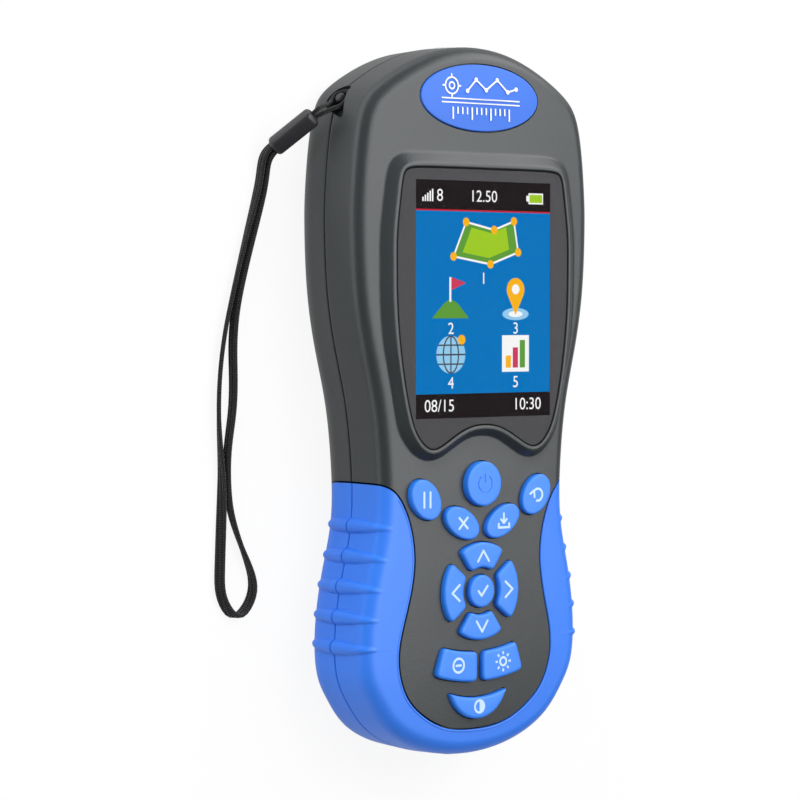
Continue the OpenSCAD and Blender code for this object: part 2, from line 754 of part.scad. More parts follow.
// Open frame that stands on the main board and carries the display
module display_holder() color([0.9, 0.9, 0.88]) {
  deck = 0.8;
  h = glass_z - glass_t - board_top;
  translate([0, glass_y, board_top]) difference() {
    translate([0, 0, h / 2]) cube([glass_w, glass_len, h], center = true);
    translate([0, 0, (h - deck) / 2 - 1])
      cube([glass_w - 2 * holder_wall, glass_len - 2 * holder_wall, h - deck + 2], center = true);
  }
}

battery_y = glass_y;
module board_plan() {
  difference() {
    inner_plan(wall + board_gap);
    for (p = screw_at) translate(p) circle(d = boss_d + 2 * fit_gap);
  }
}
module main_board() color(BOARD_GREEN) {
  translate([0, 0, board_low]) linear_extrude(board_t) board_plan();
}

module key_mat() color([0.35, 0.36, 0.38]) {
  translate([0, 0, board_top]) linear_extrude(mat_t) difference() {
    intersection() {
      board_plan();
      polygon(inset(dark_loop, edge_wall + fit_gap));
      translate([-past, y_bot]) square([2 * past, glass_y - glass_len / 2 - 1 - y_bot]);
    }
    for (p = key_middles) translate(p) circle(d = dome_d + 4 * fit_gap);
  }
}

module dome_switches() color(STEEL) {
  r = (dome_d * dome_d / 4 + dome_h * dome_h) / (2 * dome_h);
  half = asin(dome_d / 2 / r);
  for (p = key_middles) translate([p[0], p[1], board_top]) rotate_extrude()
    polygon(concat([[0, 0]], arc([0, dome_h - r], r, 90 - half, 90, 8)));
}

module patch_antenna() color(CERAMIC) {
  cut = 2;
  a = patch_side / 2;
  translate([0, y_top - wall - 3 - a, board_top]) {
    linear_extrude(patch_t)
      polygon([[-a, -a], [a, -a], [a, a - cut], [a - cut, a], [-a, a]]);
    translate([1.5, 0, 0]) cylinder(d = 1.6, h = patch_t + 0.2);
  }
}

module receiver_module() color(STEEL) {
  r = 0.8;
  size = [module_size[0], module_size[1]] - 2 * r * [1, 1];
  translate([0, y_top - wall - 17.5, board_low - module_size[2]]) linear_extrude(module_size[2]) {
    square(size + [2 * r, 0], center = true);
    square(size + [0, 2 * r], center = true);
    for (x = [-1, 1], y = [-1, 1]) translate([x * size[0] / 2, y * size[1] / 2]) circle(r);
  }
}

module battery() color([0.7, 0.72, 0.75]) {
  r = 2;
  translate([0, battery_y, back_wall]) linear_extrude(battery_size[2]) {
    square([battery_size[0] - 2 * r, battery_len], center = true);
    square([battery_size[0], battery_len - 2 * r], center = true);
    for (x = [-1, 1], y = [-1, 1])
      translate([x * (battery_size[0] / 2 - r), y * (battery_len / 2 - r)]) circle(r);
  }
}

module charge_socket() color(STEEL) {
  w = socket_size[0];
  d = socket_size[1];
  h = socket_size[2];
  shell = 0.35;
  translate([0, y_bot + wall + fit_gap, board_low - h]) {
    difference() {
      translate([-w / 2, 0, 0]) cube([w, d, h]);
      translate([shell - w / 2, -1, shell]) cube([w - 2 * shell, d, h - 2 * shell]);
    }
    translate([-w / 4, d - 4, h / 2]) cube([w / 2, 3.5, 0.6]);
  }
}

// Soft plug that closes the charging port and pulls straight out
module port_plug() color(BLUE) {
  lip = 0.8;
  port_bar(port_w, port_h, y_bot - plug_out + lip, y_bot + wall - fit_gap);
  port_bar(port_w - lip, port_h - lip, y_bot - plug_out, y_bot + 3);
}

module torch_lens() color([0.85, 0.88, 0.9]) {
  r = torch_d / 2;
  back = wall + 1.5;
  rim = 1;
  translate([0, y_top - back, seam_z]) rotate([-90, 0, 0]) difference() {
    rotate_extrude() polygon(concat(
      [[0, 0], [r + torch_flange, 0], [r + torch_flange, rim], [r, rim], [r, back - 0.6]],
      [for (a = [30, 60, 90]) [r * cos(a), back - 0.6 + (torch_out + 0.6) * sin(a)]]
    ));
    translate([0, 0, -eps]) cylinder(d1 = torch_d - 1, d2 = 3, h = 3);
  }
}

module torch_led() color([0.95, 0.95, 0.8]) {
  tip = y_top - wall - 1.9;
  lead = 0.6;
  translate([0, tip, seam_z]) rotate([90, 0, 0]) {
    translate([0, 0, 2.5]) sphere(d = 5);
    translate([0, 0, 2.5]) cylinder(d = 5, h = 4.5);
    translate([0, 0, 6]) cylinder(d = 5.8, h = 1);
  }
  for (s = [-1, 1]) translate([s * 1.27, tip - 8, 0]) {
    translate([0, 1.2, seam_z]) rotate([90, 0, 0]) cylinder(d = lead, h = 1.5);
    translate([0, 0, seam_z - lead / 2]) cylinder(d = lead, h = board_low - seam_z + lead / 2);
  }
}

module case_screws() color(STEEL) {
  end = front_low + 7.6;
  for (p = screw_at) translate([p[0], p[1], screw_well]) difference() {
    union() {
      cylinder(d = screw_head_d, h = screw_head_h);
      cylinder(d = screw_d, h = end - screw_well);
    }
    for (a = [0, 90]) rotate(a) translate([-1.4, -0.3, -1]) cube([2.8, 0.6, 1.8]);
  }
}

module strap_pin() color(STEEL) {
  end = notch_depth + pin_seat - pin_head_drop;
  at_notch() translate([pin_at[0], pin_at[1], pin_head_drop]) rotate_extrude() polygon(concat(
    [for (a = [90 : -15 : 0]) [pin_head_d / 2 * cos(a), -pin_dome * sin(a)]],
    [[pin_d / 2, 0], [pin_d / 2, end], [0, end]]
  ));
}

// A smooth open curve through given points
function relax_open(c, p, n) = n == 0 ? c
  : let (m = len(p) - 1)
    relax_open([
      for (i = [0 : m]) i == 0 || i == m ? p[i] : (6 * p[i] - c[i - 1] - c[i + 1]) / 4
    ], p, n - 1);
function smooth_path(p, steps) =
  let (
    c = relax_open(p, p, 24), m = len(c) - 1,
    e = concat([2 * c[0] - c[1]], c, [2 * c[m] - c[m - 1]])
  )
    concat([
      for (i = [0 : m - 1], s = [0 : steps - 1])
        let (t = s / steps)
          (e[i] * pow(1 - t, 3) + e[i + 1] * (3 * t * t * t - 6 * t * t + 4)
            + e[i + 2] * (-3 * t * t * t + 3 * t * t + 3 * t + 1) + e[i + 3] * t * t * t) / 6
    ], [p[m]]);
// A tube of eight sides along a path, high by wide, kept level with a given upright direction
module tube(path, high, wide, upright) {
  n = 8;
  m = len(path) - 1;
  rings = [
    for (i = [0 : m])
      let (
        t = unit(path[min(m, i + 1)] - path[max(0, i - 1)]),
        side = unit(cross(t, upright)), up = cross(side, t)
      )
        [
          for (k = [0 : n - 1])
            let (a = 22.5 + 45 * k, f = 1 / cos(22.5))
              path[i] + f * (side * wide / 2 * cos(a) + up * high / 2 * sin(a))
        ]
  ];
  points = concat([for (r = rings) each r], [path[0], path[m]]);
  last = (m + 1) * n;
  polyhedron(points, concat(
    [for (f = bands(n, m + 1)) [f[2], f[1], f[0]]], fan(n, 0, last, true), fan(n, m * n, last + 1, false)
  ));
}

// Where the strap's points lie from, which follows the shoulder of the case
strap_at = [37.8 - head_hw, y_top - 87.45, 0];
// Slider, from its upper to its lower end
slider_top = strap_at + [-40.2, 69.5, 13.2];
slider_low = strap_at + [-45.9, 61.9, 4.6];
slider_dir = unit(slider_low - slider_top);
cord_apart = 0.65;
braid_apart = 0.72;

// Thin cord: out of the slider, round the pin and back
cord_loop = [
  [-4.79, -2.94, 0.62], [-1.42, -0.15, -1.75], [0.48, 0.75, -2.85], [1.98, 1, -3.03], [3.08, 1.3, -2.23],
  [3.73, 1.6, -0.78], [3.58, 1.7, 0.62], [2.08, 1.7, 1.22], [0.28, 1.5, 1.52], [-1.52, 0.9, 1.72],
  [-3.32, -0.3, 1.42]
];
cord_route = concat(
  [strap_at + [-42.6, 67.3, 10.2], strap_at + [-40.7, 69.8, 13.2]],
  [for (p = cord_loop) in_notch(p)],
  [strap_at + [-39.7, 69.1, 13.2], strap_at + [-41.7, 66.6, 10.2]]
);

// Flat braid: down the inner side, round the bottom of the loop and up the outer side
braid_z = 1.35;
braid_route = [
  [-43.6, 63.77, 7.2], [-45.32, 61.47, 4.6], [-46.1, 59.2, 2.6], [-46.2, 56.2, 1.6],
  [-46.9, 51.7, braid_z], [-48.9, 44.7, braid_z], [-51.2, 37.2, braid_z], [-53.3, 29.8, braid_z],
  [-55, 22.2, braid_z], [-55.7, 14.2, braid_z], [-55.6, 6.2, braid_z], [-56, -1.8, braid_z],
  [-57.2, -9.8, braid_z], [-57.5, -17.8, braid_z], [-56.4, -25.8, braid_z], [-53.4, -33.8, braid_z],
  [-50.6, -40.3, braid_z], [-50.4, -46.3, braid_z], [-54.8, -50.7, braid_z], [-59, -46.3, braid_z],
  [-59.7, -39.8, braid_z], [-59.4, -31.8, braid_z], [-59.1, -23.8, braid_z], [-59.1, -15.8, braid_z],
  [-59.7, -6.8, braid_z], [-59.8, 2.2, braid_z], [-59.1, 10.7, braid_z], [-57.6, 19.2, braid_z],
  [-55.3, 28.2, braid_z], [-52.7, 37.4, braid_z], [-50.3, 45.2, braid_z], [-48.3, 52, braid_z],
  [-47.6, 56.4, 1.6], [-47.4, 59.9, 2.6], [-46.48, 62.33, 4.6], [-44.76, 64.63, 7.2]
];

module lanyard_cord() color(BLACK) {
  tube(smooth_path(cord_route, 2), cord_d, cord_d, [notch_in[0], notch_in[1], 0]);
}
module wrist_strap() color(BLACK) {
  tube([for (p = braid_route) strap_at + p], braid[0], braid[1], [0, 0, 1]);
}

// Moulded slider with a channel for the cord at one end and for the braid at the other
module strap_slider() color([0.2, 0.2, 0.22]) {
  w = slider_size[0];
  t = slider_size[1];
  l = slider_size[2];
  r = 1.4;
  end_r = 2;
  translate(slider_top) rotate([0, acos(slider_dir[2]), atan2(slider_dir[1], slider_dir[0])]) difference() {
    intersection() {
      linear_extrude(l) {
        square([t - 2 * r, w], center = true);
        square([t, w - 2 * r], center = true);
        for (x = [-1, 1], y = [-1, 1]) translate([x * (t / 2 - r), y * (w / 2 - r)]) circle(r);
      }
      rotate([90, 0, 90]) translate([0, 0, -t]) linear_extrude(2 * t) {
        translate([-w / 2, end_r]) square([w, l - end_r]);
        translate([end_r - w / 2, 0]) square([w - 2 * end_r, l]);
        for (y = [-1, 1]) translate([y * (w / 2 - end_r), end_r]) circle(end_r);
      }
    }
    translate([0, 0, -1]) linear_extrude(6.4) {
      square([cord_d + 0.4, 2 * cord_apart], center = true);
      for (y = [-1, 1]) translate([0, y * cord_apart]) circle(d = cord_d + 0.4);
    }
    translate([0, 0, l - 4.6]) linear_extrude(6)
      square([braid[0] + 0.5, 2 * (braid_apart + braid[1] / 2) + 0.4], center = true);
  }
}

// Body of a key: side, rounded edge and flat top
module key_form(loop) {
  n = len(loop);
  middle = middle_of(loop);
  top = face_at(middle) + key_rise;
  low = flange_low + flange_t / 2;
  rings = concat(
    [lift(loop, low)],
    [for (a = [0, 45, 90]) lift(inset(loop, key_round * (1 - cos(a))), top - key_round * (1 - sin(a)))]
  );
  last = (len(rings) - 1) * n;
  points = concat([for (r = rings) each r], [[middle[0], middle[1], top], [middle[0], middle[1], low]]);
  polyhedron(points, concat(
    bands(n, len(rings)), fan(n, last, last + n, true), fan(n, 0, last + n + 1, false)
  ));
}
module plunger(at) {
  translate([at[0], at[1], plunger_low]) cylinder(d = plunger_d, h = flange_top - plunger_low - 0.1);
}
module shaped_key(name) color(BLUE) {
  loop = loop_of(name);
  key_form(loop);
  prism(inset(loop, -key_gap - key_flange), flange_low, flange_top);
  plunger(middle_of(loop));
}
module round_key(at, d, rise) color(BLUE) {
  top = face_at(at) + rise;
  r = d / 2;
  foot = r + key_gap + key_flange;
  translate([at[0], at[1], 0]) rotate_extrude() polygon(concat(
    [[0, flange_low], [foot, flange_low], [foot, flange_top], [r, flange_top]],
    arc([r - key_round, top - key_round], key_round, 0, 90, 6), [[0, top]]
  ));
  plunger(at);
}
module key_power() round_key(power_at, power_d, key_rise + 0.3);
module key_enter() round_key(ring_at, enter_d, key_rise);
module key_pause() shaped_key("key_pause");
module key_back() shaped_key("key_back");
module key_delete() shaped_key("key_delete");
module key_save() shaped_key("key_save");
module key_up() shaped_key("key_up");
module key_down() shaped_key("key_down");
module key_left() shaped_key("key_left");
module key_right() shaped_key("key_right");
module key_cash() shaped_key("key_cash");
module key_light() shaped_key("key_light");
module key_backlit() shaped_key("key_backlit");

front_shell();
rear_shell();
grip_front();
grip_rear();
badge_plate();
screen_lens();
display_glass();
display_holder();
main_board();
key_mat();
dome_switches();
patch_antenna();
receiver_module();
battery();
charge_socket();
port_plug();
torch_lens();
torch_led();
case_screws();
strap_pin();
lanyard_cord();
strap_slider();
wrist_strap();
key_power();
key_enter();
key_pause();
key_back();
key_delete();
key_save();
key_up();
key_down();
key_left();
key_right();
key_cash();
key_light();
key_backlit();
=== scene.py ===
"""Looks of the handheld land area meter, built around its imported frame."""
import logging
import math
from dataclasses import dataclass, field
from enum import Enum
from typing import Callable, Sequence

import bpy
import numpy as np
from mathutils import Matrix, Vector


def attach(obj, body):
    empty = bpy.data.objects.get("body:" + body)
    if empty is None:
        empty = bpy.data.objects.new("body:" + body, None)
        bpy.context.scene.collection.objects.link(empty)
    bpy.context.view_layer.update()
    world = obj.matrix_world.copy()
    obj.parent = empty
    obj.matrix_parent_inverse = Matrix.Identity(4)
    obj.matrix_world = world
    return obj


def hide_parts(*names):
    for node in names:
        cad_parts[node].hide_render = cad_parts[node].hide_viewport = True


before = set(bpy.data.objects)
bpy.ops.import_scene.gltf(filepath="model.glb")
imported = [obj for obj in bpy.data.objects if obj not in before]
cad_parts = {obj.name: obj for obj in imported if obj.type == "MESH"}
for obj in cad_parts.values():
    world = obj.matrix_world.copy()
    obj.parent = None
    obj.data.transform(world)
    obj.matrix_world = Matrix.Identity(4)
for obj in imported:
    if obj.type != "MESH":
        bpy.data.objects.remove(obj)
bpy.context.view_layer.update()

LOG = logging.getLogger("land_meter")
MM = 0.001
Points = np.ndarray
Shape = bpy.types.Object
Colour = tuple[float, float, float]

# Passes that bring a spline's control points to where the curve meets the given points
SPLINE_PASSES = 24
# Heights closer than this, in metres, count as the same
SAME = 1e-6
# Heights below and above the whole meter, in millimetres, for tools that cut right through it
BELOW = -10
ABOVE = 50


# Curves, in millimetres


def stretches(corners: Sequence[Points], steps: int) -> Points:
    """Cubic stretches, each blended from four control points.

    Args:
        corners: The first to the fourth control point of every stretch, as four arrays.
        steps: Points made for each stretch.

    Returns:
        The points of all stretches in turn.
    """
    t = (np.arange(steps) / steps)[None, :, None]
    weights = ((1 - t) ** 3, 3 * t**3 - 6 * t**2 + 4, -3 * t**3 + 3 * t**2 + 3 * t + 1, t**3)
    blend = sum(corner[:, None, :] * weight for corner, weight in zip(corners, weights))
    return (blend / 6).reshape(-1, corners[0].shape[1])


def bspline(control: Points, steps: int) -> Points:
    """Closed cubic curve over control points, with so many steps for each of them."""
    return stretches([np.roll(control, k, 0) for k in (1, 0, -1, -2)], steps)


def spline_loop(points: Sequence, steps: int) -> Points:
    """Smooth closed curve through the given points.

    Args:
        points: The points that it passes through.
        steps: Points made for each given point.

    Returns:
        The curve's points.
    """
    p = np.asarray(points, float)
    control = p.copy()
    for _ in range(SPLINE_PASSES):
        control = (6 * p - np.roll(control, 1, 0) - np.roll(control, -1, 0)) / 4
    return bspline(control, steps)


def spline_path(points: Sequence, steps: int) -> Points:
    """Smooth open curve through the given points.

    Args:
        points: The points that it passes through.
        steps: Points made for each stretch.

    Returns:
        The curve's points, with both ends.
    """
    p = np.asarray(points, float)
    control = p.copy()
    for _ in range(SPLINE_PASSES):
        control[1:-1] = (6 * p[1:-1] - control[:-2] - control[2:]) / 4
    e = np.vstack([2 * control[0] - control[1], control, 2 * control[-1] - control[-2]])
    corners = [e[k : len(e) - 3 + k] for k in range(4)]
    return np.vstack([stretches(corners, steps), p[-1]])


def mirrored(half: Sequence) -> Points:
    """The right half of an outline, from top to bottom, with its mirror image."""
    h = np.asarray(half, float)
    return np.vstack([h, h[-2:0:-1] * [-1, 1]])


def mirror_spline(half: Sequence, steps: int) -> Points:
    """Smooth closed curve through the right half of an outline and its mirror image."""
    return spline_loop(mirrored(half), steps)


def outward(loop: Points) -> Points:
    """Outward directions along a loop that runs clockwise.

    Args:
        loop: The loop.

    Returns:
        A direction for each point.
    """
    along = np.roll(loop, -1, 0) - np.roll(loop, 1, 0)
    along /= np.linalg.norm(along, axis=1)[:, None]
    return np.stack([-along[:, 1], along[:, 0]], 1)


def grown(loop: Points, by: float) -> Points:
    """A clockwise loop moved outwards, or inwards where by is negative."""
    return loop + by * outward(loop)


def inset_loop(loop: Points, by: float, slack: float = 0.03) -> Points:
    """A clockwise loop moved inwards, with points that would cross drawn together.

    Args:
        loop: The loop.
        by: The distance.
        slack: How much too near to the loop a good point may come.

    Returns:
        As many points as the loop has.
    """
    moved = grown(loop, -by)
    step = np.roll(loop, -1, 0) - loop
    gap = moved[:, None, :] - loop[None, :, :]
    share = np.clip((gap * step).sum(2) / (step**2).sum(1), 0, 1)
    near = np.linalg.norm(gap - share[:, :, None] * step, axis=2).min(1)
    good = np.flatnonzero(near > by - slack)
    n = len(loop)
    known = np.concatenate([good - n, good, good + n])
    return np.stack([np.interp(np.arange(n), known, np.tile(moved[good, k], 3)) for k in (0, 1)], 1)


def respaced(loop: Points, far: float, fine: tuple[float, float] = (0, 0), near: float = 1) -> Points:
    """A mirror-symmetric loop with new spacing.

    Args:
        loop: Dense loop that starts at its top and runs clockwise.
        far: Spacing.
        fine: Lowest and highest y of a stretch with its own spacing, equal for none.
        near: Spacing inside that stretch.

    Returns:
        The new loop, again its own mirror image.
    """
    half = loop[: len(loop) // 2 + 1]
    step = np.linalg.norm(np.diff(half, axis=0), axis=1)
    middle = (half[1:, 1] + half[:-1, 1]) / 2
    weight = step / np.where((middle > fine[0]) & (middle < fine[1]), near, far)
    travel = np.concatenate([[0], np.cumsum(weight)])
    at = np.linspace(0, travel[-1], int(travel[-1]) + 1)
    return mirrored(np.stack([np.interp(at, travel, half[:, k]) for k in (0, 1)], 1))


def arc(centre: Sequence, radius: float, start: float, end: float, count: int) -> Points:
    """Points on an arc, in degrees, with both ends."""
    a = np.radians(np.linspace(start, end, count + 1))
    return np.asarray(centre) + radius * np.stack([np.cos(a), np.sin(a)], 1)


def oval(size: Sequence, centre: Sequence, tilt: float = 0, count: int = 72) -> Points:
    """Clockwise oval.

    Args:
        size: Both widths across.
        centre: Its middle.
        tilt: Turn in degrees.
        count: Number of points.

    Returns:
        The outline.
    """
    a = -2 * np.pi * np.arange(count) / count
    turn = math.radians(tilt)
    x = size[0] / 2 * np.cos(a)
    y = size[1] / 2 * np.sin(a)
    across = x * math.cos(turn) - y * math.sin(turn)
    up = x * math.sin(turn) + y * math.cos(turn)
    return np.asarray(centre) + np.stack([across, up], 1)


def disc(centre: Sequence, width: float, count: int) -> Points:
    """Clockwise circle, by its width across."""
    return oval((width, width), centre, count=count)


def rectangle(x0: float, y0: float, x1: float, y1: float) -> list[tuple[float, float]]:
    """Corners of an upright rectangle."""
    return [(x0, y0), (x1, y0), (x1, y1), (x0, y1)]


def unit_circle(count: int) -> Points:
    """Points round a circle of radius 1."""
    a = np.linspace(0, 2 * np.pi, count + 1)[:-1]
    return np.stack([np.cos(a), np.sin(a)], 1)


def sector(centre: Sequence, radii: Sequence, angles: Sequence, counts: Sequence, steps: int = 5) -> Points:
    """Clockwise outline of a rounded piece of a ring.

    Args:
        centre: Middle of the ring.
        radii: Inner and outer radius.
        angles: First and last angle in degrees.
        counts: Stretches on the inner and the outer arc.
        steps: Points made for each stretch.

    Returns:
        The outline.
    """
    c = np.asarray(centre)
    r0, r1 = radii
    a0, a1 = angles

    def spoke(start: float, end: float, angle: float) -> Points:
        """Two points between the arcs."""
        a = math.radians(angle)
        return c + np.outer(start + (end - start) * np.array([1, 2]) / 3, [math.cos(a), math.sin(a)])

    outer = arc(c, r1, a1, a0, counts[1])
    inner = arc(c, r0, a0, a1, counts[0])
    return bspline(np.vstack([outer, spoke(r1, r0, a0), inner, spoke(r0, r1, a1)]), steps)


def bar(start: Sequence, end: Sequence, width: float) -> Points:
    """Rectangle along a line from start to end.

    Args:
        start: Middle of one end.
        end: Middle of the other end.
        width: Its width.

    Returns:
        Its corners.
    """
    a, b = np.asarray(start, float), np.asarray(end, float)
    t = (b - a) / np.linalg.norm(b - a)
    side = np.array([-t[1], t[0]]) * width / 2
    return np.array([a + side, b + side, b - side, a - side])


# Mesh tools


def clear_selection() -> None:
    """Leaves edit mode and deselects everything."""
    if bpy.context.object and bpy.context.object.mode != "OBJECT":
        bpy.ops.object.mode_set(mode="OBJECT")
    bpy.ops.object.select_all(action="DESELECT")


def pick(shape: Shape) -> None:
    """Makes one object the only selected and active one.

    Args:
        shape: The object.
    """
    clear_selection()
    shape.select_set(True)
    bpy.context.view_layer.objects.active = shape


def tidy_mesh(shape: Shape, merge: float = 0) -> None:
    """Merges doubles, where merge is over zero, and turns all faces outwards.

    Args:
        shape: The object.
        merge: Distance in metres, or zero.
    """
    pick(shape)
    bpy.ops.object.mode_set(mode="EDIT")
    bpy.ops.mesh.select_all(action="SELECT")
    if merge:
        bpy.ops.mesh.remove_doubles(threshold=merge)
    bpy.ops.mesh.normals_make_consistent(inside=False)
    bpy.ops.object.mode_set(mode="OBJECT")


def shade(shape: Shape, degrees: float = 32) -> None:
    """Smooth shading with sharp edges over an angle."""
    pick(shape)
    bpy.ops.object.shade_smooth_by_angle(angle=math.radians(degrees))


def lofted(
    name: str, rings: Sequence, faces: Sequence = (), extra: Sequence = (), closed: bool = False
) -> Shape:
    """A skin over rings of equally many points.

    Args:
        name: Name of the object.
        rings: Rings in millimetres, each with a row of x, y and z for each point.
        faces: Further faces, such as caps.
        extra: Further points, numbered after the rings'.
        closed: True where the last ring joins the first.

    Returns:
        The object, with its faces turned outwards.
    """
    n, count = len(rings[0]), len(rings)
    quads = [
        (k * n + i, k * n + (i + 1) % n, (k + 1) % count * n + (i + 1) % n, (k + 1) % count * n + i)
        for k in range(count if closed else count - 1)
        for i in range(n)
    ]
    points = np.vstack([*rings, *([extra] if len(extra) else [])]) * MM
    mesh = bpy.data.meshes.new(name)
    mesh.from_pydata(points.tolist(), [], [*quads, *faces])
    shape = bpy.data.objects.new(name, mesh)
    bpy.context.scene.collection.objects.link(shape)
    tidy_mesh(shape)
    return shape


def end_faces(rings: Sequence[Points]) -> list[list[int]]:
    """Faces that close the first and the last of some rings."""
    n, count = len(rings[0]), len(rings)
    return [list(range(n)), list(range((count - 1) * n, count * n))]


def levelled(flat: Points, z: float) -> Points:
    """A loop in plan, lifted to one height."""
    return np.column_stack([flat, np.full(len(flat), z)])


def strips(ring: Points, first: int, spare: int = 0, columns: int = 1) -> tuple[list, list]:
    """A cap over a ring that is its own mirror image, in strips from side to side.

    Args:
        ring: The ring's points, x, y and z.
        first: Number of the ring's first point.
        spare: Number of the first of the cap's own points.
        columns: Faces in each strip.

    Returns:
        The faces, and the cap's own points with the ring's height.
    """
    n = len(ring)

    def number(i: int, c: int) -> int:
        """Number of the point in row i and column c.

        Args:
            i: The row.
            c: The column.

        Returns:
            The number.
        """
        if i in (0, n // 2) or c == 0:
            return first + i
        return first + n - i if c == columns else spare + (i - 1) * (columns - 1) + c - 1

    faces = []
    for i in range(n // 2):
        for c in range(columns):
            around = [number(i, c), number(i + 1, c), number(i + 1, c + 1), number(i, c + 1)]
            once = [p for k, p in enumerate(around) if p not in around[:k]]
            if len(once) > 2:
                faces.append(once)
    share = np.arange(1, columns) / columns
    own = [ring[i] * (1 - s) + ring[n - i] * s for i in range(1, n // 2) for s in share]
    return faces, own


def plate(name: str, outline: Sequence, low: float, high: float) -> Shape:
    """Flat plate cut to an outline.

    Args:
        name: Name of the object.
        outline: Its corners, in millimetres.
        low: Height of its underside.
        high: Height of its top.

    Returns:
        The object.
    """
    clear_selection()
    bpy.ops.mesh.primitive_circle_add(vertices=len(outline), fill_type="NGON")
    shape = bpy.context.object
    shape.name = shape.data.name = name
    for vertex, p in zip(shape.data.vertices, outline):
        vertex.co = (p[0] * MM, p[1] * MM, low * MM)
    bpy.ops.object.mode_set(mode="EDIT")
    bpy.ops.mesh.select_all(action="SELECT")
    bpy.ops.mesh.extrude_region_move(TRANSFORM_OT_translate={"value": (0, 0, (high - low) * MM)})
    tidy_mesh(shape)
    return shape


def punch(outline: Sequence, low: float, high: float) -> Shape:
    """Upright tool that cuts to an outline."""
    return plate("cutter", outline, low, high)


def rounded_top(shape: Shape, radius: float, segments: int, crown: Sequence = ()) -> None:
    """Rounds a plate's top edge and domes its top.

    Args:
        shape: A plate.
        radius: Radius of the edge, in millimetres.
        segments: Faces over the edge.
        crown: Pairs of an inset and a rise, in millimetres, from the edge inwards.
    """
    top = max(v.co.z for v in shape.data.vertices)

    def rank(face: bpy.types.MeshPolygon) -> float:
        """Ranks faces that look up by their height, and by their size where heights are alike."""
        return (face.normal.z > 0.9) * face.center.z * face.area**0.05

    pick(shape)
    bpy.ops.object.mode_set(mode="EDIT")
    bpy.ops.mesh.select_mode(type="EDGE")
    bpy.ops.mesh.select_all(action="DESELECT")
    bpy.ops.object.mode_set(mode="OBJECT")
    for edge in shape.data.edges:
        edge.select = all(shape.data.vertices[v].co.z > top - SAME for v in edge.vertices)
    bpy.ops.object.mode_set(mode="EDIT")
    bpy.ops.mesh.bevel(offset=radius * MM, segments=segments, affect="EDGES", profile=0.5)
    bpy.ops.mesh.select_mode(type="FACE")
    for inset, rise in crown:
        bpy.ops.mesh.select_all(action="DESELECT")
        bpy.ops.object.mode_set(mode="OBJECT")
        max(shape.data.polygons, key=rank).select = True
        bpy.ops.object.mode_set(mode="EDIT")
        bpy.ops.mesh.inset(thickness=inset * MM, depth=rise * MM)
    bpy.ops.object.mode_set(mode="OBJECT")
    shade(shape, 40)


def carved(shape: Shape, tool: Shape) -> Shape:
    """Cuts a shape with a tool, which is used up.

    Args:
        shape: The object that is cut.
        tool: The object that cuts it.

    Returns:
        The cut object.
    """
    modifier = shape.modifiers.new("carve", "BOOLEAN")
    modifier.object = tool
    modifier.operation = "DIFFERENCE"
    modifier.solver = "EXACT"
    pick(shape)
    bpy.ops.object.modifier_apply(modifier=modifier.name)
    bpy.data.objects.remove(tool)
    return shape


def joined(name: str, shapes: Sequence[Shape]) -> Shape:
    """Joins objects into one with a new name.

    Args:
        name: The new name.
        shapes: The objects.

    Returns:
        The one object.
    """
    pick(shapes[0])
    for shape in shapes:
        shape.select_set(True)
    bpy.ops.object.join()
    shapes[0].name = shapes[0].data.name = name
    return shapes[0]


def rod(start: Sequence, end: Sequence, radius: float, sides: int = 48) -> Shape:
    """Round tool between two points, in millimetres.

    Args:
        start: Middle of one end.
        end: Middle of the other end.
        radius: Its radius.
        sides: Faces round it.

    Returns:
        The tool.
    """
    a, b = Vector(start) * MM, Vector(end) * MM
    clear_selection()
    bpy.ops.mesh.primitive_cylinder_add(vertices=sides, radius=radius * MM, depth=(b - a).length)
    shape = bpy.context.object
    shape.name = shape.data.name = "cutter"
    turn = (b - a).to_track_quat("Z", "Y").to_matrix().to_4x4()
    shape.data.transform(Matrix.Translation((a + b) / 2) @ turn)
    return shape


def swept(name: str, path: Points, section: Points, upright: Sequence = (0, 0, 1)) -> Shape:
    """A tube along a path, with a UV map that runs along and around it.

    Args:
        name: Name of the object.
        path: The points that it follows, in millimetres.
        section: Its section, across and up.
        upright: Direction that the section's up side keeps to, or one for each point.

    Returns:
        The object.
    """
    along = np.gradient(path, axis=0)
    along /= np.linalg.norm(along, axis=1)[:, None]
    side = np.cross(along, upright)
    side /= np.linalg.norm(side, axis=1)[:, None]
    up = np.cross(side, along)
    rings = [p + np.outer(section[:, 0], s) + np.outer(section[:, 1], u) for p, s, u in zip(path, side, up)]
    n = len(section)
    shape = lofted(name, rings, end_faces(rings))
    travel = np.concatenate([[0], np.cumsum(np.linalg.norm(np.diff(path, axis=0), axis=1))])
    layer = shape.data.uv_layers.new(name="lay")
    for face in shape.data.polygons:
        numbers = [shape.data.loops[i].vertex_index for i in face.loop_indices]
        wraps = max(v % n for v in numbers) - min(v % n for v in numbers) > n / 2
        for i, v in zip(face.loop_indices, numbers):
            around = v % n + (n if wraps and v % n < n / 2 else 0)
            layer.data[i].uv = (travel[v // n], around / n)
    shade(shape, 60)
    return shape


# Node groups and finishes


def linear(red: int, green: int, blue: int) -> Colour:
    """Linear colour of an sRGB colour from 0 to 255."""
    shares = [c / 255 for c in (red, green, blue)]
    return tuple(c / 12.92 if c <= 10 / 255 else ((c + 0.055) / 1.055) ** 2.4 for c in shares)


class Effect(Enum):
    """Surface effects that several finishes share."""

    GRAIN = "moulded grain"
    CLOUD = "uneven tone"
    BRAID = "braided yarn"


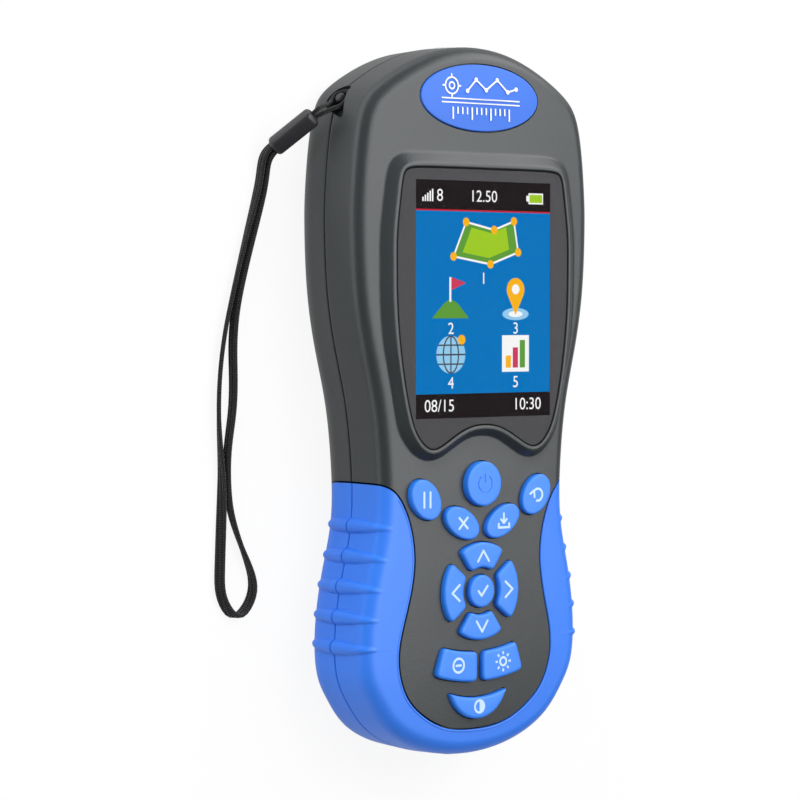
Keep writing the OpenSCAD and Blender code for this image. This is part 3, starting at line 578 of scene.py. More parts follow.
def new_group(effect: Effect, inputs: dict[str, float], outputs: Sequence[str]) -> tuple:
    """Empty node group with a vector input.

    Args:
        effect: The effect, which names the group.
        inputs: Names and values of its number inputs.
        outputs: Names of its outputs.

    Returns:
        The group and its input and output nodes.
    """
    tree = bpy.data.node_groups.new(effect.value, "ShaderNodeTree")
    tree.interface.new_socket("Vector", in_out="INPUT", socket_type="NodeSocketVector")
    for name, value in inputs.items():
        socket = tree.interface.new_socket(name, in_out="INPUT", socket_type="NodeSocketFloat")
        socket.default_value = value
    for name in outputs:
        tree.interface.new_socket(name, in_out="OUTPUT", socket_type="NodeSocketFloat")
    return tree, tree.nodes.new("NodeGroupInput"), tree.nodes.new("NodeGroupOutput")


def math_node(tree: bpy.types.NodeTree, operation: str, a: object, b: object) -> bpy.types.NodeSocket:
    """A math node on two sockets or numbers.

    Args:
        tree: The node tree.
        operation: Name of the operation.
        a: First socket or number.
        b: Second socket or number.

    Returns:
        Its result.
    """
    node = tree.nodes.new("ShaderNodeMath")
    node.operation = operation
    for socket, value in zip(node.inputs, (a, b)):
        if isinstance(value, bpy.types.NodeSocket):
            tree.links.new(value, socket)
        else:
            socket.default_value = value
    return node.outputs[0]


def noise(tree: bpy.types.NodeTree, vector: object, scale: object, detail: float) -> bpy.types.NodeSocket:
    """A noise node's value.

    Args:
        tree: The node tree.
        vector: Socket with the place.
        scale: Socket or number with its scale.
        detail: Finer layers of it.

    Returns:
        Its value, from 0 to 1.
    """
    node = tree.nodes.new("ShaderNodeTexNoise")
    node.inputs["Detail"].default_value = detail
    tree.links.new(vector, node.inputs["Vector"])
    if isinstance(scale, bpy.types.NodeSocket):
        tree.links.new(scale, node.inputs["Scale"])
    else:
        node.inputs["Scale"].default_value = scale
    return node.outputs["Fac"]


def grain_group() -> bpy.types.NodeTree:
    """Fine spark-eroded grain of a moulded skin.

    Returns:
        The node group.
    """
    tree, given, out = new_group(Effect.GRAIN, {"Scale": 2600.0}, ("Height", "Fleck"))
    place, scale = given.outputs["Vector"], given.outputs["Scale"]
    fine = noise(tree, place, scale, 2)
    coarse = noise(tree, place, math_node(tree, "MULTIPLY", scale, 0.31), 1)
    height = math_node(tree, "ADD", math_node(tree, "MULTIPLY", coarse, 0.6), fine)
    tree.links.new(height, out.inputs["Height"])
    tree.links.new(math_node(tree, "POWER", fine, 2), out.inputs["Fleck"])
    return tree


def cloud_group() -> bpy.types.NodeTree:
    """Slow change of tone and gloss, as handling leaves it.

    Returns:
        The node group.
    """
    tree, given, out = new_group(Effect.CLOUD, {"Scale": 24.0, "Low": 0.8, "High": 1.0}, ("Tone",))
    soft = noise(tree, given.outputs["Vector"], given.outputs["Scale"], 3)
    span = math_node(tree, "SUBTRACT", given.outputs["High"], given.outputs["Low"])
    tone = math_node(tree, "ADD", math_node(tree, "MULTIPLY", soft, span), given.outputs["Low"])
    tree.links.new(tone, out.inputs["Tone"])
    return tree


def braid_group() -> bpy.types.NodeTree:
    """Diagonal yarns of a braid, on a map that runs along and around it.

    Returns:
        The node group.
    """
    tree, given, out = new_group(Effect.BRAID, {"Along": 7.0, "Around": 8.0}, ("Height",))
    split = tree.nodes.new("ShaderNodeSeparateXYZ")
    tree.links.new(given.outputs["Vector"], split.inputs[0])
    along = math_node(tree, "MULTIPLY", split.outputs["X"], given.outputs["Along"])
    turns = math_node(tree, "MULTIPLY", given.outputs["Around"], 2 * math.pi)
    around = math_node(tree, "MULTIPLY", split.outputs["Y"], turns)
    one = math_node(tree, "SINE", math_node(tree, "ADD", along, around), 0)
    two = math_node(tree, "SINE", math_node(tree, "SUBTRACT", along, around), 0)
    tree.links.new(math_node(tree, "MULTIPLY", one, two), out.inputs["Height"])
    return tree


GROUPS = {Effect.GRAIN: grain_group(), Effect.CLOUD: cloud_group(), Effect.BRAID: braid_group()}


class Recipe:
    """A material with its main shader, to which a finish adds nodes."""

    def __init__(self, name: str) -> None:
        """Starts the material.

        Args:
            name: Its name.
        """
        self.material = bpy.data.materials.new(name)
        self.material.use_nodes = True
        self.tree = self.material.node_tree
        self.shader = self.tree.nodes["Principled BSDF"]
        self.place = self.tree.nodes.new("ShaderNodeTexCoord").outputs["Object"]

    def put(self, **values: object) -> None:
        """Sets sockets of the main shader, with spaces for underscores."""
        for name, value in values.items():
            socket = self.shader.inputs[name.replace("_", " ")]
            socket.default_value = (*value, 1) if isinstance(value, tuple) else value

    def effect(self, effect: Effect, place: object = None, **values: float) -> bpy.types.Node:
        """Places a shared effect.

        Args:
            effect: Which one.
            place: Socket with the place, or none for Object coordinates.
            **values: Its number inputs.

        Returns:
            Its node.
        """
        node = self.tree.nodes.new("ShaderNodeGroup")
        node.node_tree = GROUPS[effect]
        self.tree.links.new(place or self.place, node.inputs["Vector"])
        for name, value in values.items():
            node.inputs[name].default_value = value
        return node

    def bump(self, height: bpy.types.NodeSocket, depth: float) -> None:
        """Leads a height to the shader's normal; depth is in millimetres.

        Args:
            height: Socket with the height.
            depth: Its depth.
        """
        node = self.tree.nodes.new("ShaderNodeBump")
        node.inputs["Strength"].default_value = 1
        node.inputs["Distance"].default_value = depth * MM
        self.tree.links.new(height, node.inputs["Height"])
        self.tree.links.new(node.outputs["Normal"], self.shader.inputs["Normal"])

    def between(self, factor: bpy.types.NodeSocket, low: Colour, high: Colour) -> bpy.types.NodeSocket:
        """Mixes two colours by a factor.

        Args:
            factor: Socket with the factor.
            low: Colour at 0.
            high: Colour at 1.

        Returns:
            The mixed colour.
        """
        node = self.tree.nodes.new("ShaderNodeMix")
        node.data_type = "RGBA"
        self.tree.links.new(factor, node.inputs["Factor"])
        node.inputs["A"].default_value = (*low, 1)
        node.inputs["B"].default_value = (*high, 1)
        return node.outputs["Result"]

    def link(self, socket: bpy.types.NodeSocket, name: str) -> None:
        """Leads a socket to an input of the main shader."""
        self.tree.links.new(socket, self.shader.inputs[name])

    def times(self, a: object, b: object) -> bpy.types.NodeSocket:
        """Product of two sockets or numbers."""
        return math_node(self.tree, "MULTIPLY", a, b)

    def plus(self, a: object, b: object) -> bpy.types.NodeSocket:
        """Sum of two sockets or numbers."""
        return math_node(self.tree, "ADD", a, b)


def toned(colour: Colour, by: float) -> Colour:
    """A colour made darker or lighter."""
    return tuple(min(1.0, c * by) for c in colour)


@dataclass(frozen=True)
class Moulding:
    """Moulded plastic or rubber with grain and a slow change of tone."""

    name: str
    colour: Colour
    roughness: float = 0.45
    gloss: float = 0.5
    grain: float = 0.03
    scale: float = 2600
    spread: float = 0.12

    def material(self) -> bpy.types.Material:
        """Builds the material.

        Returns:
            The material.
        """
        recipe = Recipe(self.name)
        recipe.put(Specular_IOR_Level=self.gloss)
        grain = recipe.effect(Effect.GRAIN, Scale=self.scale)
        tone = recipe.effect(Effect.CLOUD, Low=0.0, High=1.0).outputs["Tone"]
        mixed = recipe.plus(recipe.times(grain.outputs["Fleck"], 0.6), recipe.times(tone, 0.4))
        dark, pale = toned(self.colour, 1 - self.spread), toned(self.colour, 1 + self.spread)
        recipe.link(recipe.between(mixed, dark, pale), "Base Color")
        gloss = recipe.effect(Effect.CLOUD, Scale=55, Low=self.roughness - 0.05, High=self.roughness + 0.05)
        recipe.link(gloss.outputs["Tone"], "Roughness")
        recipe.bump(grain.outputs["Height"], self.grain)
        return recipe.material


@dataclass(frozen=True)
class Metal:
    """Plated or rolled metal with fine scratches."""

    name: str
    colour: Colour
    roughness: float = 0.3

    def material(self) -> bpy.types.Material:
        """Builds the material.

        Returns:
            The material.
        """
        recipe = Recipe(self.name)
        recipe.put(Metallic=1.0)
        stretch = recipe.tree.nodes.new("ShaderNodeMapping")
        stretch.inputs["Scale"].default_value = (1, 0.05, 1)
        recipe.tree.links.new(recipe.place, stretch.inputs["Vector"])
        scratch = recipe.effect(Effect.GRAIN, stretch.outputs[0], Scale=4000)
        tone = recipe.effect(Effect.CLOUD, Scale=90, Low=self.roughness - 0.08, High=self.roughness + 0.1)
        recipe.link(tone.outputs["Tone"], "Roughness")
        colour = recipe.between(scratch.outputs["Fleck"], toned(self.colour, 0.85), self.colour)
        recipe.link(colour, "Base Color")
        recipe.bump(scratch.outputs["Height"], 0.004)
        return recipe.material


@dataclass(frozen=True)
class Ink:
    """Printed ink with a slightly uneven coat."""

    name: str
    colour: Colour
    roughness: float = 0.5

    def material(self) -> bpy.types.Material:
        """Builds the material.

        Returns:
            The material.
        """
        recipe = Recipe(self.name)
        recipe.put(Roughness=self.roughness, Specular_IOR_Level=0.3)
        coat = recipe.effect(Effect.CLOUD, Scale=700, Low=0.0, High=1.0)
        recipe.link(recipe.between(coat.outputs["Tone"], toned(self.colour, 0.92), self.colour), "Base Color")
        recipe.bump(coat.outputs["Tone"], 0.004)
        return recipe.material


@dataclass(frozen=True)
class Pixels:
    """Lit picture elements of the display."""

    name: str
    colour: Colour
    level: float = 1.0

    def material(self) -> bpy.types.Material:
        """Builds the material.

        Returns:
            The material.
        """
        recipe = Recipe(self.name)
        recipe.put(Base_Color=(0.0, 0.0, 0.0), Roughness=0.6, Specular_IOR_Level=0.0)
        recipe.put(Emission_Strength=self.level)
        glow = recipe.effect(Effect.CLOUD, Scale=35, Low=0.0, High=1.0)
        colour = recipe.between(glow.outputs["Tone"], toned(self.colour, 0.98), self.colour)
        recipe.link(colour, "Emission Color")
        return recipe.material


@dataclass(frozen=True)
class Clear:
    """Clear cast plastic or glass."""

    name: str
    colour: Colour = (0.02, 0.02, 0.022)
    alpha: float = 0.02
    roughness: float = 0.12

    def material(self) -> bpy.types.Material:
        """Builds the material.

        Returns:
            The material.
        """
        recipe = Recipe(self.name)
        recipe.put(Base_Color=self.colour, Alpha=self.alpha, Specular_IOR_Level=0.5)
        haze = recipe.effect(Effect.CLOUD, Scale=40, Low=self.roughness - 0.03, High=self.roughness + 0.04)
        recipe.link(haze.outputs["Tone"], "Roughness")
        return recipe.material


@dataclass(frozen=True)
class Yarn:
    """Braided yarn on a swept cord, with painted highlight on its crests and painted shade in its valleys."""

    name: str
    colour: Colour
    along: float = 5.0
    around: float = 8.0

    def material(self) -> bpy.types.Material:
        """Builds the material.

        Returns:
            The material.
        """
        recipe = Recipe(self.name)
        recipe.put(Roughness=0.85, Specular_IOR_Level=0.25)
        recipe.put(Sheen_Weight=0.15, Sheen_Roughness=0.5)
        lay = recipe.tree.nodes.new("ShaderNodeUVMap")
        lay.uv_map = "lay"
        braid = recipe.effect(Effect.BRAID, lay.outputs["UV"], Along=self.along, Around=self.around)
        fibre = recipe.effect(Effect.GRAIN, Scale=5000)
        weave = braid.outputs["Height"]
        # The braid's crests are painted lighter and its valleys darker: painted highlight and shade.
        depth = recipe.plus(recipe.times(weave, 0.5), 0.5)
        recipe.link(recipe.between(depth, toned(self.colour, 0.3), toned(self.colour, 2.4)), "Base Color")
        recipe.bump(recipe.plus(weave, recipe.times(fibre.outputs["Height"], 0.4)), 0.18)
        return recipe.material


class Finishes:
    """All the finishes of the meter, each built once."""

    BLUE = linear(44, 121, 236)

    def __init__(self) -> None:
        """Builds every material."""
        made = (
            Moulding("housing_grey", linear(50, 54, 56), roughness=0.38, gloss=0.62, grain=0.04),
            Moulding("grip_blue", self.BLUE, 0.42, gloss=0.55, grain=0.015, scale=2200, spread=0.03),
            Moulding("key_blue", linear(46, 128, 238), 0.38, grain=0.01, scale=3000, spread=0.03),
            Moulding("badge_blue", linear(58, 112, 216), 0.4, 0.25, grain=0.006, scale=3000, spread=0.03),
            Moulding("slider_black", linear(52, 51, 55), roughness=0.32, gloss=0.55, grain=0.02),
            Moulding("lens_border", linear(68, 68, 70), 0.7, 0.1, grain=0.004, scale=3000, spread=0.03),
            # Near-black, dull finish for the ring in the gap round the lens: painted shade of the gap.
            Moulding("gap_shade_black", linear(16, 16, 17), 0.8, 0.1, grain=0.004, scale=3000, spread=0.03),
            Moulding("white_plastic", linear(226, 226, 222), roughness=0.5),
            Moulding("board_green", linear(26, 100, 62), 0.4, grain=0.01, scale=900, spread=0.2),
            Moulding("mat_grey", linear(88, 90, 94), roughness=0.7),
            Moulding("ceramic_cream", linear(220, 206, 176), roughness=0.55),
            Metal("plated_steel", (0.72, 0.73, 0.75), roughness=0.28),
            Metal("cell_foil", (0.66, 0.68, 0.7), roughness=0.42),
            Ink("sign_ink", linear(196, 222, 252)),
            Ink("badge_ink", linear(236, 242, 255)),
            Clear("lens_clear"),
            Clear("torch_clear", (0.9, 0.93, 0.95), alpha=0.45, roughness=0.08),
            Yarn("strap_yarn", linear(26, 26, 28), along=5.0, around=6.0),
            Yarn("cord_yarn", linear(22, 22, 24), along=7.0, around=3.0),
            Pixels("pixel_blue", linear(1, 117, 192)),
            Pixels("pixel_black", linear(30, 24, 26)),
            Pixels("pixel_red", linear(196, 36, 52)),
            Pixels("pixel_white", linear(250, 250, 250)),
            Pixels("pixel_lime", linear(160, 205, 40)),
            Pixels("pixel_amber", linear(252, 182, 26)),
            Pixels("pixel_green", linear(96, 158, 58)),
            Pixels("pixel_rose", linear(206, 62, 96)),
            Pixels("pixel_sky", linear(150, 206, 240)),
            Pixels("pixel_grey", linear(70, 78, 92)),
        )
        self.by_name = {finish.name: finish.material() for finish in made}

    def dress(self, shape: Shape, name: str) -> Shape:
        """Gives an object one finish.

        Args:
            shape: The object.
            name: Name of the finish.

        Returns:
            The object.
        """
        shape.data.materials.clear()
        shape.data.materials.append(self.by_name[name])
        return shape


# Sub-assemblies


@dataclass
class Notch:
    """Place and outline of the strap notch in the left shoulder, in millimetres."""

    at: tuple[float, float] = (-33.71, 73.44)
    level: float = 13.48
    turn: float = 54.0
    width: float = 9.25
    height: float = 8.45
    depth: float = 4.8
    reach: float = 7.0

    @property
    def inwards(self) -> np.ndarray:
        """Direction into the case."""
        a = math.radians(self.turn)
        return np.array([math.sin(a), -math.cos(a), 0.0])

    def place(self, along: float, depth: float, up: float) -> np.ndarray:
        """A point by its way along the shoulder, its depth in the notch and its height.

        Args:
            along: Way along the shoulder.
            depth: Way into the case.
            up: Height over the middle.

        Returns:
            The point.
        """
        a = math.radians(self.turn)
        start = np.array([*self.at, self.level + up])
        return start + along * np.array([math.cos(a), math.sin(a), 0]) + depth * self.inwards

    def cutter(self) -> Shape:
        """Cutter with the notch's outline.

        Returns:
            The tool.
        """
        shares = [
            [0.495, 0.168], [0.5, -0.163], [0.365, -0.394], [0.149, -0.5], [-0.078, -0.471], [-0.294, -0.199],
            [-0.413, 0.133], [-0.499, 0.417], [-0.381, 0.499], [-0.056, 0.381], [0.268, 0.251],
        ]
        outline = spline_loop(np.array(shares) * [self.width, self.height], 8)
        rings = [np.array([self.place(x, d, z) for x, z in outline]) for d in (-self.reach, self.depth)]
        return lofted("cutter", rings, end_faces(rings))


@dataclass
class Case:
    """Two-part housing: its forms, openings and both dark shells. Sizes are in millimetres."""

    finishes: Finishes
    length: float = 174.5
    head: float = 37.8
    waist: float = 29.5
    grip: float = 34.8
    head_end: float = 30.0
    lens_length: float = 68.4
    lens_half_width: float = 27.55
    pad_drop: float = 35.1
    chin: float = 41.0
    face: float = 27.7
    crown: float = 1.2
    waist_reach: float = 28.0
    head_fall: float = 0.6
    chin_fall: float = 2.0
    chin_bend: float = 0.6
    bend_length: float = 25.0
    seam: float = 14.0
    seam_gap: float = 0.3
    rim_round: float = 0.28
    front_round: float = 3.8
    rear_round: float = 9.0
    rear_end_round: float = 5.0
    sunk: float = 0.25
    draft: float = 0.3
    wall: float = 5.4
    skin: float = 3.6
    core_top: float = 23.4
    core_low: float = 2.9
    ceiling: float = 24.4
    collar: float = 4.2
    low_collar: float = 0.35
    lip: float = 0.9
    lens_top: float = 29.12
    lens_seat: float = 28.85
    rim: float = 29.3
    groove: float = 0.45
    screws: Sequence = ((25.5, 71.65), (20.5, -13.75), (19.7, -63.8))
    well_radius: float = 2.4
    well_depth: float = 3.8
    torch_radius: float = 4.15
    torch_depth: float = 8.4
    torch_past: float = 3.0
    screen_drop: float = 32.0
    window_half: tuple[float, float] = (22.7, 30.2)
    pad_start: float = 6.0
    waist_drop: float = 4.0
    collar_room: float = 0.2
    rim_edge: float = 0.2
    ceiling_inset: float = 8.2
    ceiling_slope: float = 0.4
    core_drop: float = 1.4
    back_inset: float = 1.5
    floor_top: float = 2.8
    spacing: float = 0.8
    core_spacing: float = 1.6
    opening: tuple[float, float] = (20.0, 34.0)
    slab_half: float = 56.0
    slab_past: float = 20.0
    slab_up: float = 31.0
    slab_heights: tuple[float, float] = (-5.0, 45.0)
    top: float = field(init=False)
    screen_top: float = field(init=False)
    screen_low: float = field(init=False)
    ring: float = field(init=False)
    outline: Points = field(init=False)
    dark: Points = field(init=False)
    lens: Points = field(init=False)

    def __post_init__(self) -> None:
        """Works out the places along the length and the three outlines."""
        self.top = self.length / 2
        self.screen_top = self.top - self.head_end
        self.screen_low = self.screen_top - self.lens_length
        self.ring = self.screen_low - self.pad_drop
        self.outline = self._case_outline()
        self.dark = self._pad_outline()
        self.lens = self._lens_outline()

    def _case_outline(self) -> Points:
        """Outline of the whole case in plan.

        Returns:
            The outline.
        """
        top, st, sl, r = self.top, self.screen_top, self.screen_low, self.ring
        h, w, g = self.head, self.waist, self.grip
        half = [
            [0, top], [h - 22.8, top - 2.5], [h - 8.8, top - 9.6], [h - 2.4, top - 18.5], [h - 0.3, st - 4],
            [h, st - 15], [h - 0.8, st - 30], [w + 5, sl + 24], [w + 1.9, sl + 10.5], [w + 0.2, sl - 4.5],
            [w + 0.3, r + 17], [g - 2.4, r + 5], [g - 0.3, r - 7], [g - 0.4, r - 18.5],
            [g - 3.8, 14.7 - top], [g - 10.2, 7.2 - top], [g - 21.4, 1.8 - top], [0, -top],
        ]
        return mirror_spline(half, 40)

    def _pad_outline(self) -> Points:
        """Outline of the dark face that the grip leaves free, which runs on past the head.

        Returns:
            The outline.
        """
        top, r = self.top, self.ring
        half = [
            [0, top + 30], [60, top - 10], [62, r + 60], [50, r + 28.9], [40, r + 27.9], [31, r + 27.4],
            [26, r + 24.8], [22.6, r + 19.5], [20.6, r + 12], [20.6, r + 4.5], [22.3, r - 3.5],
            [24.2, r - 11], [24.3, r - 18], [21.8, r - 24.6], [17, r - 29.4], [9.5, r - 33.2], [0, r - 34.3],
        ]
        return mirror_spline(half, 10)

    def _lens_outline(self) -> Points:
        """Outline of the opening for the lens.

        Returns:
            The outline.
        """
        st, sl, lw = self.screen_top, self.screen_low, self.lens_half_width
        half = [
            [0, st], [9, st], [17.4, st - 0.05], [23.6, st - 0.5], [lw - 1.9, st - 2.9], [lw - 1, st - 8.6],
            [lw - 0.1, st - 16.4], [lw, st - 24.2], [lw - 0.25, st - 34.6], [lw - 1.7, sl + 20.8],
            [lw - 3.9, sl + 10], [lw - 6.5, sl + 3.5], [lw - 10.9, sl], [11.4, sl + 1.8], [5.6, sl + 4.7],
            [0, sl + 5.6],
        ]
        return mirror_spline(half, 12)

    def height(self, p: Points) -> Points:
        """Height of the crowned face at points in plan.

        Args:
            p: The points.

        Returns:
            A height for each point.
        """
        up = np.maximum(0, p[:, 1] - self.screen_top) / self.head_end
        down = np.maximum(0, self.screen_low + self.pad_start - p[:, 1]) / (self.pad_drop + self.chin)
        nip = np.exp(-(((p[:, 1] - self.screen_low + self.waist_drop) / self.waist_reach) ** 2))
        across = p[:, 0] / (self.head - (self.head - self.waist) * nip)
        bend = np.maximum(0, self.bend_length - self.top - p[:, 1]) / self.bend_length
        fall = self.head_fall * up**2 + self.chin_fall * down**2 + self.chin_bend * bend**2
        return self.face - self.crown * across**2 - fall

    def height_at(self, x: float, y: float) -> float:
        """Height of the face at one place."""
        return float(self.height(np.array([[x, y]]))[0])

    @property
    def screen_middle(self) -> tuple[float, float]:
        """Middle of the display in plan."""
        return (0.0, self.screen_top - self.screen_drop)

    def front_side(self, loop: Points, out: Points, rise: object = None) -> list[Points]:
        """Rings from the parting line over the wall and the rounded edge to the face.

        Args:
            loop: Outline in plan.
            out: Its outward directions.
            rise: Function of travel and loop that gives how far the skin stands out, or none.

        Returns:
            The rings, of which the last is the edge of the face.
        """
        low = self.seam + self.seam_gap / 2
        edge = self.height(loop - self.draft * out) - self.front_round
        return self._side(loop, out, low, edge, np.full(len(loop), self.front_round), 1, rise)

    def rear_side(self, loop: Points, out: Points, rise: object = None) -> list[Points]:
        """Rings from the parting line over the wall and the rounded edge to the back.

        Args:
            loop: Outline in plan.
            out: Its outward directions.
            rise: As in front_side.

        Returns:
            The rings.
        """
        high = self.seam - self.seam_gap / 2
        radius = self.rear_end_round + (self.rear_round - self.rear_end_round) * out[:, 0] ** 2
        return self._side(loop, out, high, radius - self.sunk, radius, -1, rise)

    def _side(
        self, loop: Points, out: Points, start: float, edge: Points, radius: Points, way: int, rise: object
    ) -> list[Points]:
        """Rings of one half's side.

        Args:
            loop: Outline in plan.
            out: Its outward directions.
            start: Height at the parting line.
            edge: Height where the rounding starts, at each point.
            radius: Radius of the rounding, at each point.
            way: 1 on the front half and -1 on the rear half.
            rise: As in front_side.

        Returns:
            The rings.
        """
        rings = []

        def add(inset: object, z: Points, turn: object, travel: Points) -> None:
            """Adds a ring at an inset and a height, which faces up by a turn.

            Args:
                inset: Way inwards from the outline.
                z: Heights.
                turn: Turn in radians.
                travel: Way from the parting line.
            """
            lift = rise(travel, loop) if rise else np.zeros(len(loop))
            flat = loop - (np.asarray(inset) - lift * np.cos(turn))[..., None] * out
            rings.append(np.column_stack([flat, z + way * lift * np.sin(turn)]))

        full = np.abs(edge - start)
        zero = np.zeros(len(loop))
        for turn in (0, 30, 60, 90):
            a = math.radians(turn)
            inset = zero + self.rim_round * (1 - math.sin(a))
            add(inset, zero + start + way * self.rim_round * (1 - math.cos(a)), zero, zero)
        for share in np.linspace(0, 1, 13)[1:-1]:
            gone = self.rim_round + (full - self.rim_round) * share
            add(self.draft * share + zero, start + way * gone, zero, gone)
        for turn in np.linspace(0, 90, 15):
            a = math.radians(turn)
            inset = self.draft + radius * (1 - math.cos(a))
            if way > 0:
                z = self.height(loop - inset[:, None] * out) - radius * (1 - math.sin(a))
            else:
                z = np.maximum(edge - radius * math.sin(a), 0)
            add(inset, z, zero + a, full + radius * a)
        return rings

    def angle_on_lens(self, loop: Points) -> tuple[Points, Points]:
        """Points of the lens outline in the same directions as a loop's, seen from the screen's middle.

        Args:
            loop: The loop.

        Returns:
            The points, and the outline's outward directions there.
        """
        middle = np.array(self.screen_middle)
        lens, out = self.lens, outward(self.lens)

        def bearing(p: Points) -> Points:
            """Clockwise bearing from the top, from -pi to pi."""
            d = p - middle
            return np.arctan2(d[:, 0], d[:, 1])

        order = np.argsort(bearing(lens))
        known = bearing(lens)[order]
        wanted = bearing(loop)
        wrap = np.concatenate([known - 2 * np.pi, known, known + 2 * np.pi])
        pieces = [np.interp(wanted, wrap, np.tile(column[order], 3)) for column in (*lens.T, *out.T)]
        normal = np.stack(pieces[2:], 1)
        return np.stack(pieces[:2], 1), normal / np.linalg.norm(normal, axis=1)[:, None]

    def collar_reach(self, edge: Points, lens: Points, normal: Points, near: int = 4) -> Points:
        """How far the collar runs out from the lens.

        Args:
            edge: Edge of the face.
            lens: Points of the lens outline.
            normal: Outward directions there.
            near: Neighbours on each side over which it is evened out.

        Returns:
            The distance at each point.
        """
        room = np.array([np.linalg.norm(edge - p, axis=1).min() for p in lens]) - self.collar_room
        downwards = np.maximum(0, -normal[:, 1])
        reach = np.minimum(self.collar * (1 - self.low_collar * downwards), room)
        width = 2 * near + 1
        around = np.concatenate([reach[-near:], reach, reach[:near]])
        return np.convolve(around, np.ones(width) / width, "valid")

    def front_shell(self) -> Shape:
        """Dark front half with the collar round the screen, before its openings are cut.

        Returns:
            The shell.
        """
        loop = respaced(self.outline, self.spacing)
        out = outward(loop)
        rings = self.front_side(loop, out)
        edge = rings[-1][:, :2]
        lens, normal = self.angle_on_lens(loop)
        reach = self.collar_reach(edge, lens, normal)
        foot = lens + reach[:, None] * normal
        for share in np.linspace(0, 1, 15)[1:-1]:
            flat = edge * (1 - share) + foot * share
            rings.append(np.column_stack([flat, self.height(flat)]))
        profile = (
            (4.2, 0.0), (4.0, 0.007), (3.8, 0.029), (3.6, 0.064), (3.4, 0.114), (3.2, 0.179), (2.8, 0.321),
            (2.5, 0.429), (2.2, 0.536), (1.9, 0.643), (1.6, 0.75), (1.3, 0.857), (1.1, 0.92),
            (self.lip, 0.964), (0.7, 0.991), (0.5, 1.0), (0.35, 0.998), (0.22, 0.985), (0.12, 0.965),
            (0.04, 0.94),
        )
        for distance, share in profile:
            beyond = np.maximum(0, distance - self.lip) * (reach - self.lip) / (self.collar - self.lip)
            near = np.minimum(distance, self.lip) + beyond
            flat = lens + near[:, None] * normal
            base = self.height(flat)
            rings.append(np.column_stack([flat, base + (self.rim - base) * share]))
        window, inner = self.window(loop), loop - self.wall * out
        rings += [
            levelled(lens, self.rim - self.rim_edge),
            levelled(lens, self.lens_seat),
            levelled(window, self.lens_seat),
            levelled(window, self.ceiling),
            levelled(loop - self.ceiling_inset * out, self.ceiling - self.ceiling_slope),
            levelled(inner, self.core_top - self.core_drop),
            levelled(inner, self.seam + self.seam_gap / 2),
        ]
        return lofted("front_shell_skin", rings, closed=True)

    def window(self, loop: Points) -> Points:
        """The display window's edge in the same directions as a loop's, seen from the screen's middle.

        Args:
            loop: The loop.

        Returns:
            A point for each of the loop's.
        """
        middle = np.array(self.screen_middle)
        d = loop - middle
        half = np.array(self.window_half)
        return middle + d * np.min(half / np.maximum(np.abs(d), SAME), axis=1)[:, None]

    def back_ring(self, edge: Points, out: Points) -> Points:
        """Rim of the flat back, inside the last ring of a rear side."""
        return levelled(edge[:, :2] - self.back_inset * out, 0)

    def rear_shell(self) -> Shape:
        """Dark rear half as a cup with a flat back, before its openings are cut.

        Returns:
            The shell.
        """
        loop = respaced(self.outline, self.spacing)
        out = outward(loop)
        side = self.rear_side(loop, out)
        inner = loop - self.wall * out
        rings = [levelled(inner, self.floor_top), levelled(inner, self.seam - self.seam_gap / 2), *side]
        rings.append(self.back_ring(side[-1], out))
        floor, _ = strips(rings[0], 0)
        back, _ = strips(rings[-1], (len(rings) - 1) * len(loop))
        return lofted("rear_shell_skin", rings, [*floor, *back])

    def grip_space(self) -> Shape:
        """Room that both shells leave for the grip skins.

        Returns:
            The tool.
        """
        low, high = -self.top - self.slab_past, self.ring + self.slab_up
        slab = punch(rectangle(-self.slab_half, low, self.slab_half, high), *self.slab_heights)
        carved(slab, punch(grown(self.dark, -self.groove), BELOW, ABOVE))
        core = respaced(self.outline, self.core_spacing)
        return carved(slab, punch(grown(core, -self.skin), self.core_low, self.core_top))

    def build(self, keypad: "Keypad", badge: "Badge", notch: Notch) -> list[Shape]:
        """Cuts the openings and dresses both shells.

        Args:
            keypad: The keys, whose openings are cut.
            badge: The badge, whose seat is cut.
            notch: The strap notch, which is cut.

        Returns:
            The front and the rear shell.
        """
        front = carved(self.front_shell(), self.grip_space())
        openings = [punch(grown(loop, keypad.gap), *self.opening) for loop in keypad.outlines().values()]
        openings.append(punch(badge.outline(badge.gap), badge.low, self.opening[1]))
        carved(front, joined("cutter", openings))
        rear = carved(self.rear_shell(), self.grip_space())
        wells = []
        for x, y in self.screws:
            for side in (-1, 1):
                wells.append(rod((side * x, y, -1), (side * x, y, self.well_depth), self.well_radius))
        carved(rear, joined("cutter", wells))
        for shell in (front, rear):
            carved(shell, notch.cutter())
            start, end = self.top - self.torch_depth, self.top + self.torch_past
            carved(shell, rod((0, start, self.seam), (0, end, self.seam), self.torch_radius))
            shade(shell)
            self.finishes.dress(shell, "housing_grey")
            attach(shell, "housing")
        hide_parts("front_shell")
        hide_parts("rear_shell")
        return [front, rear]


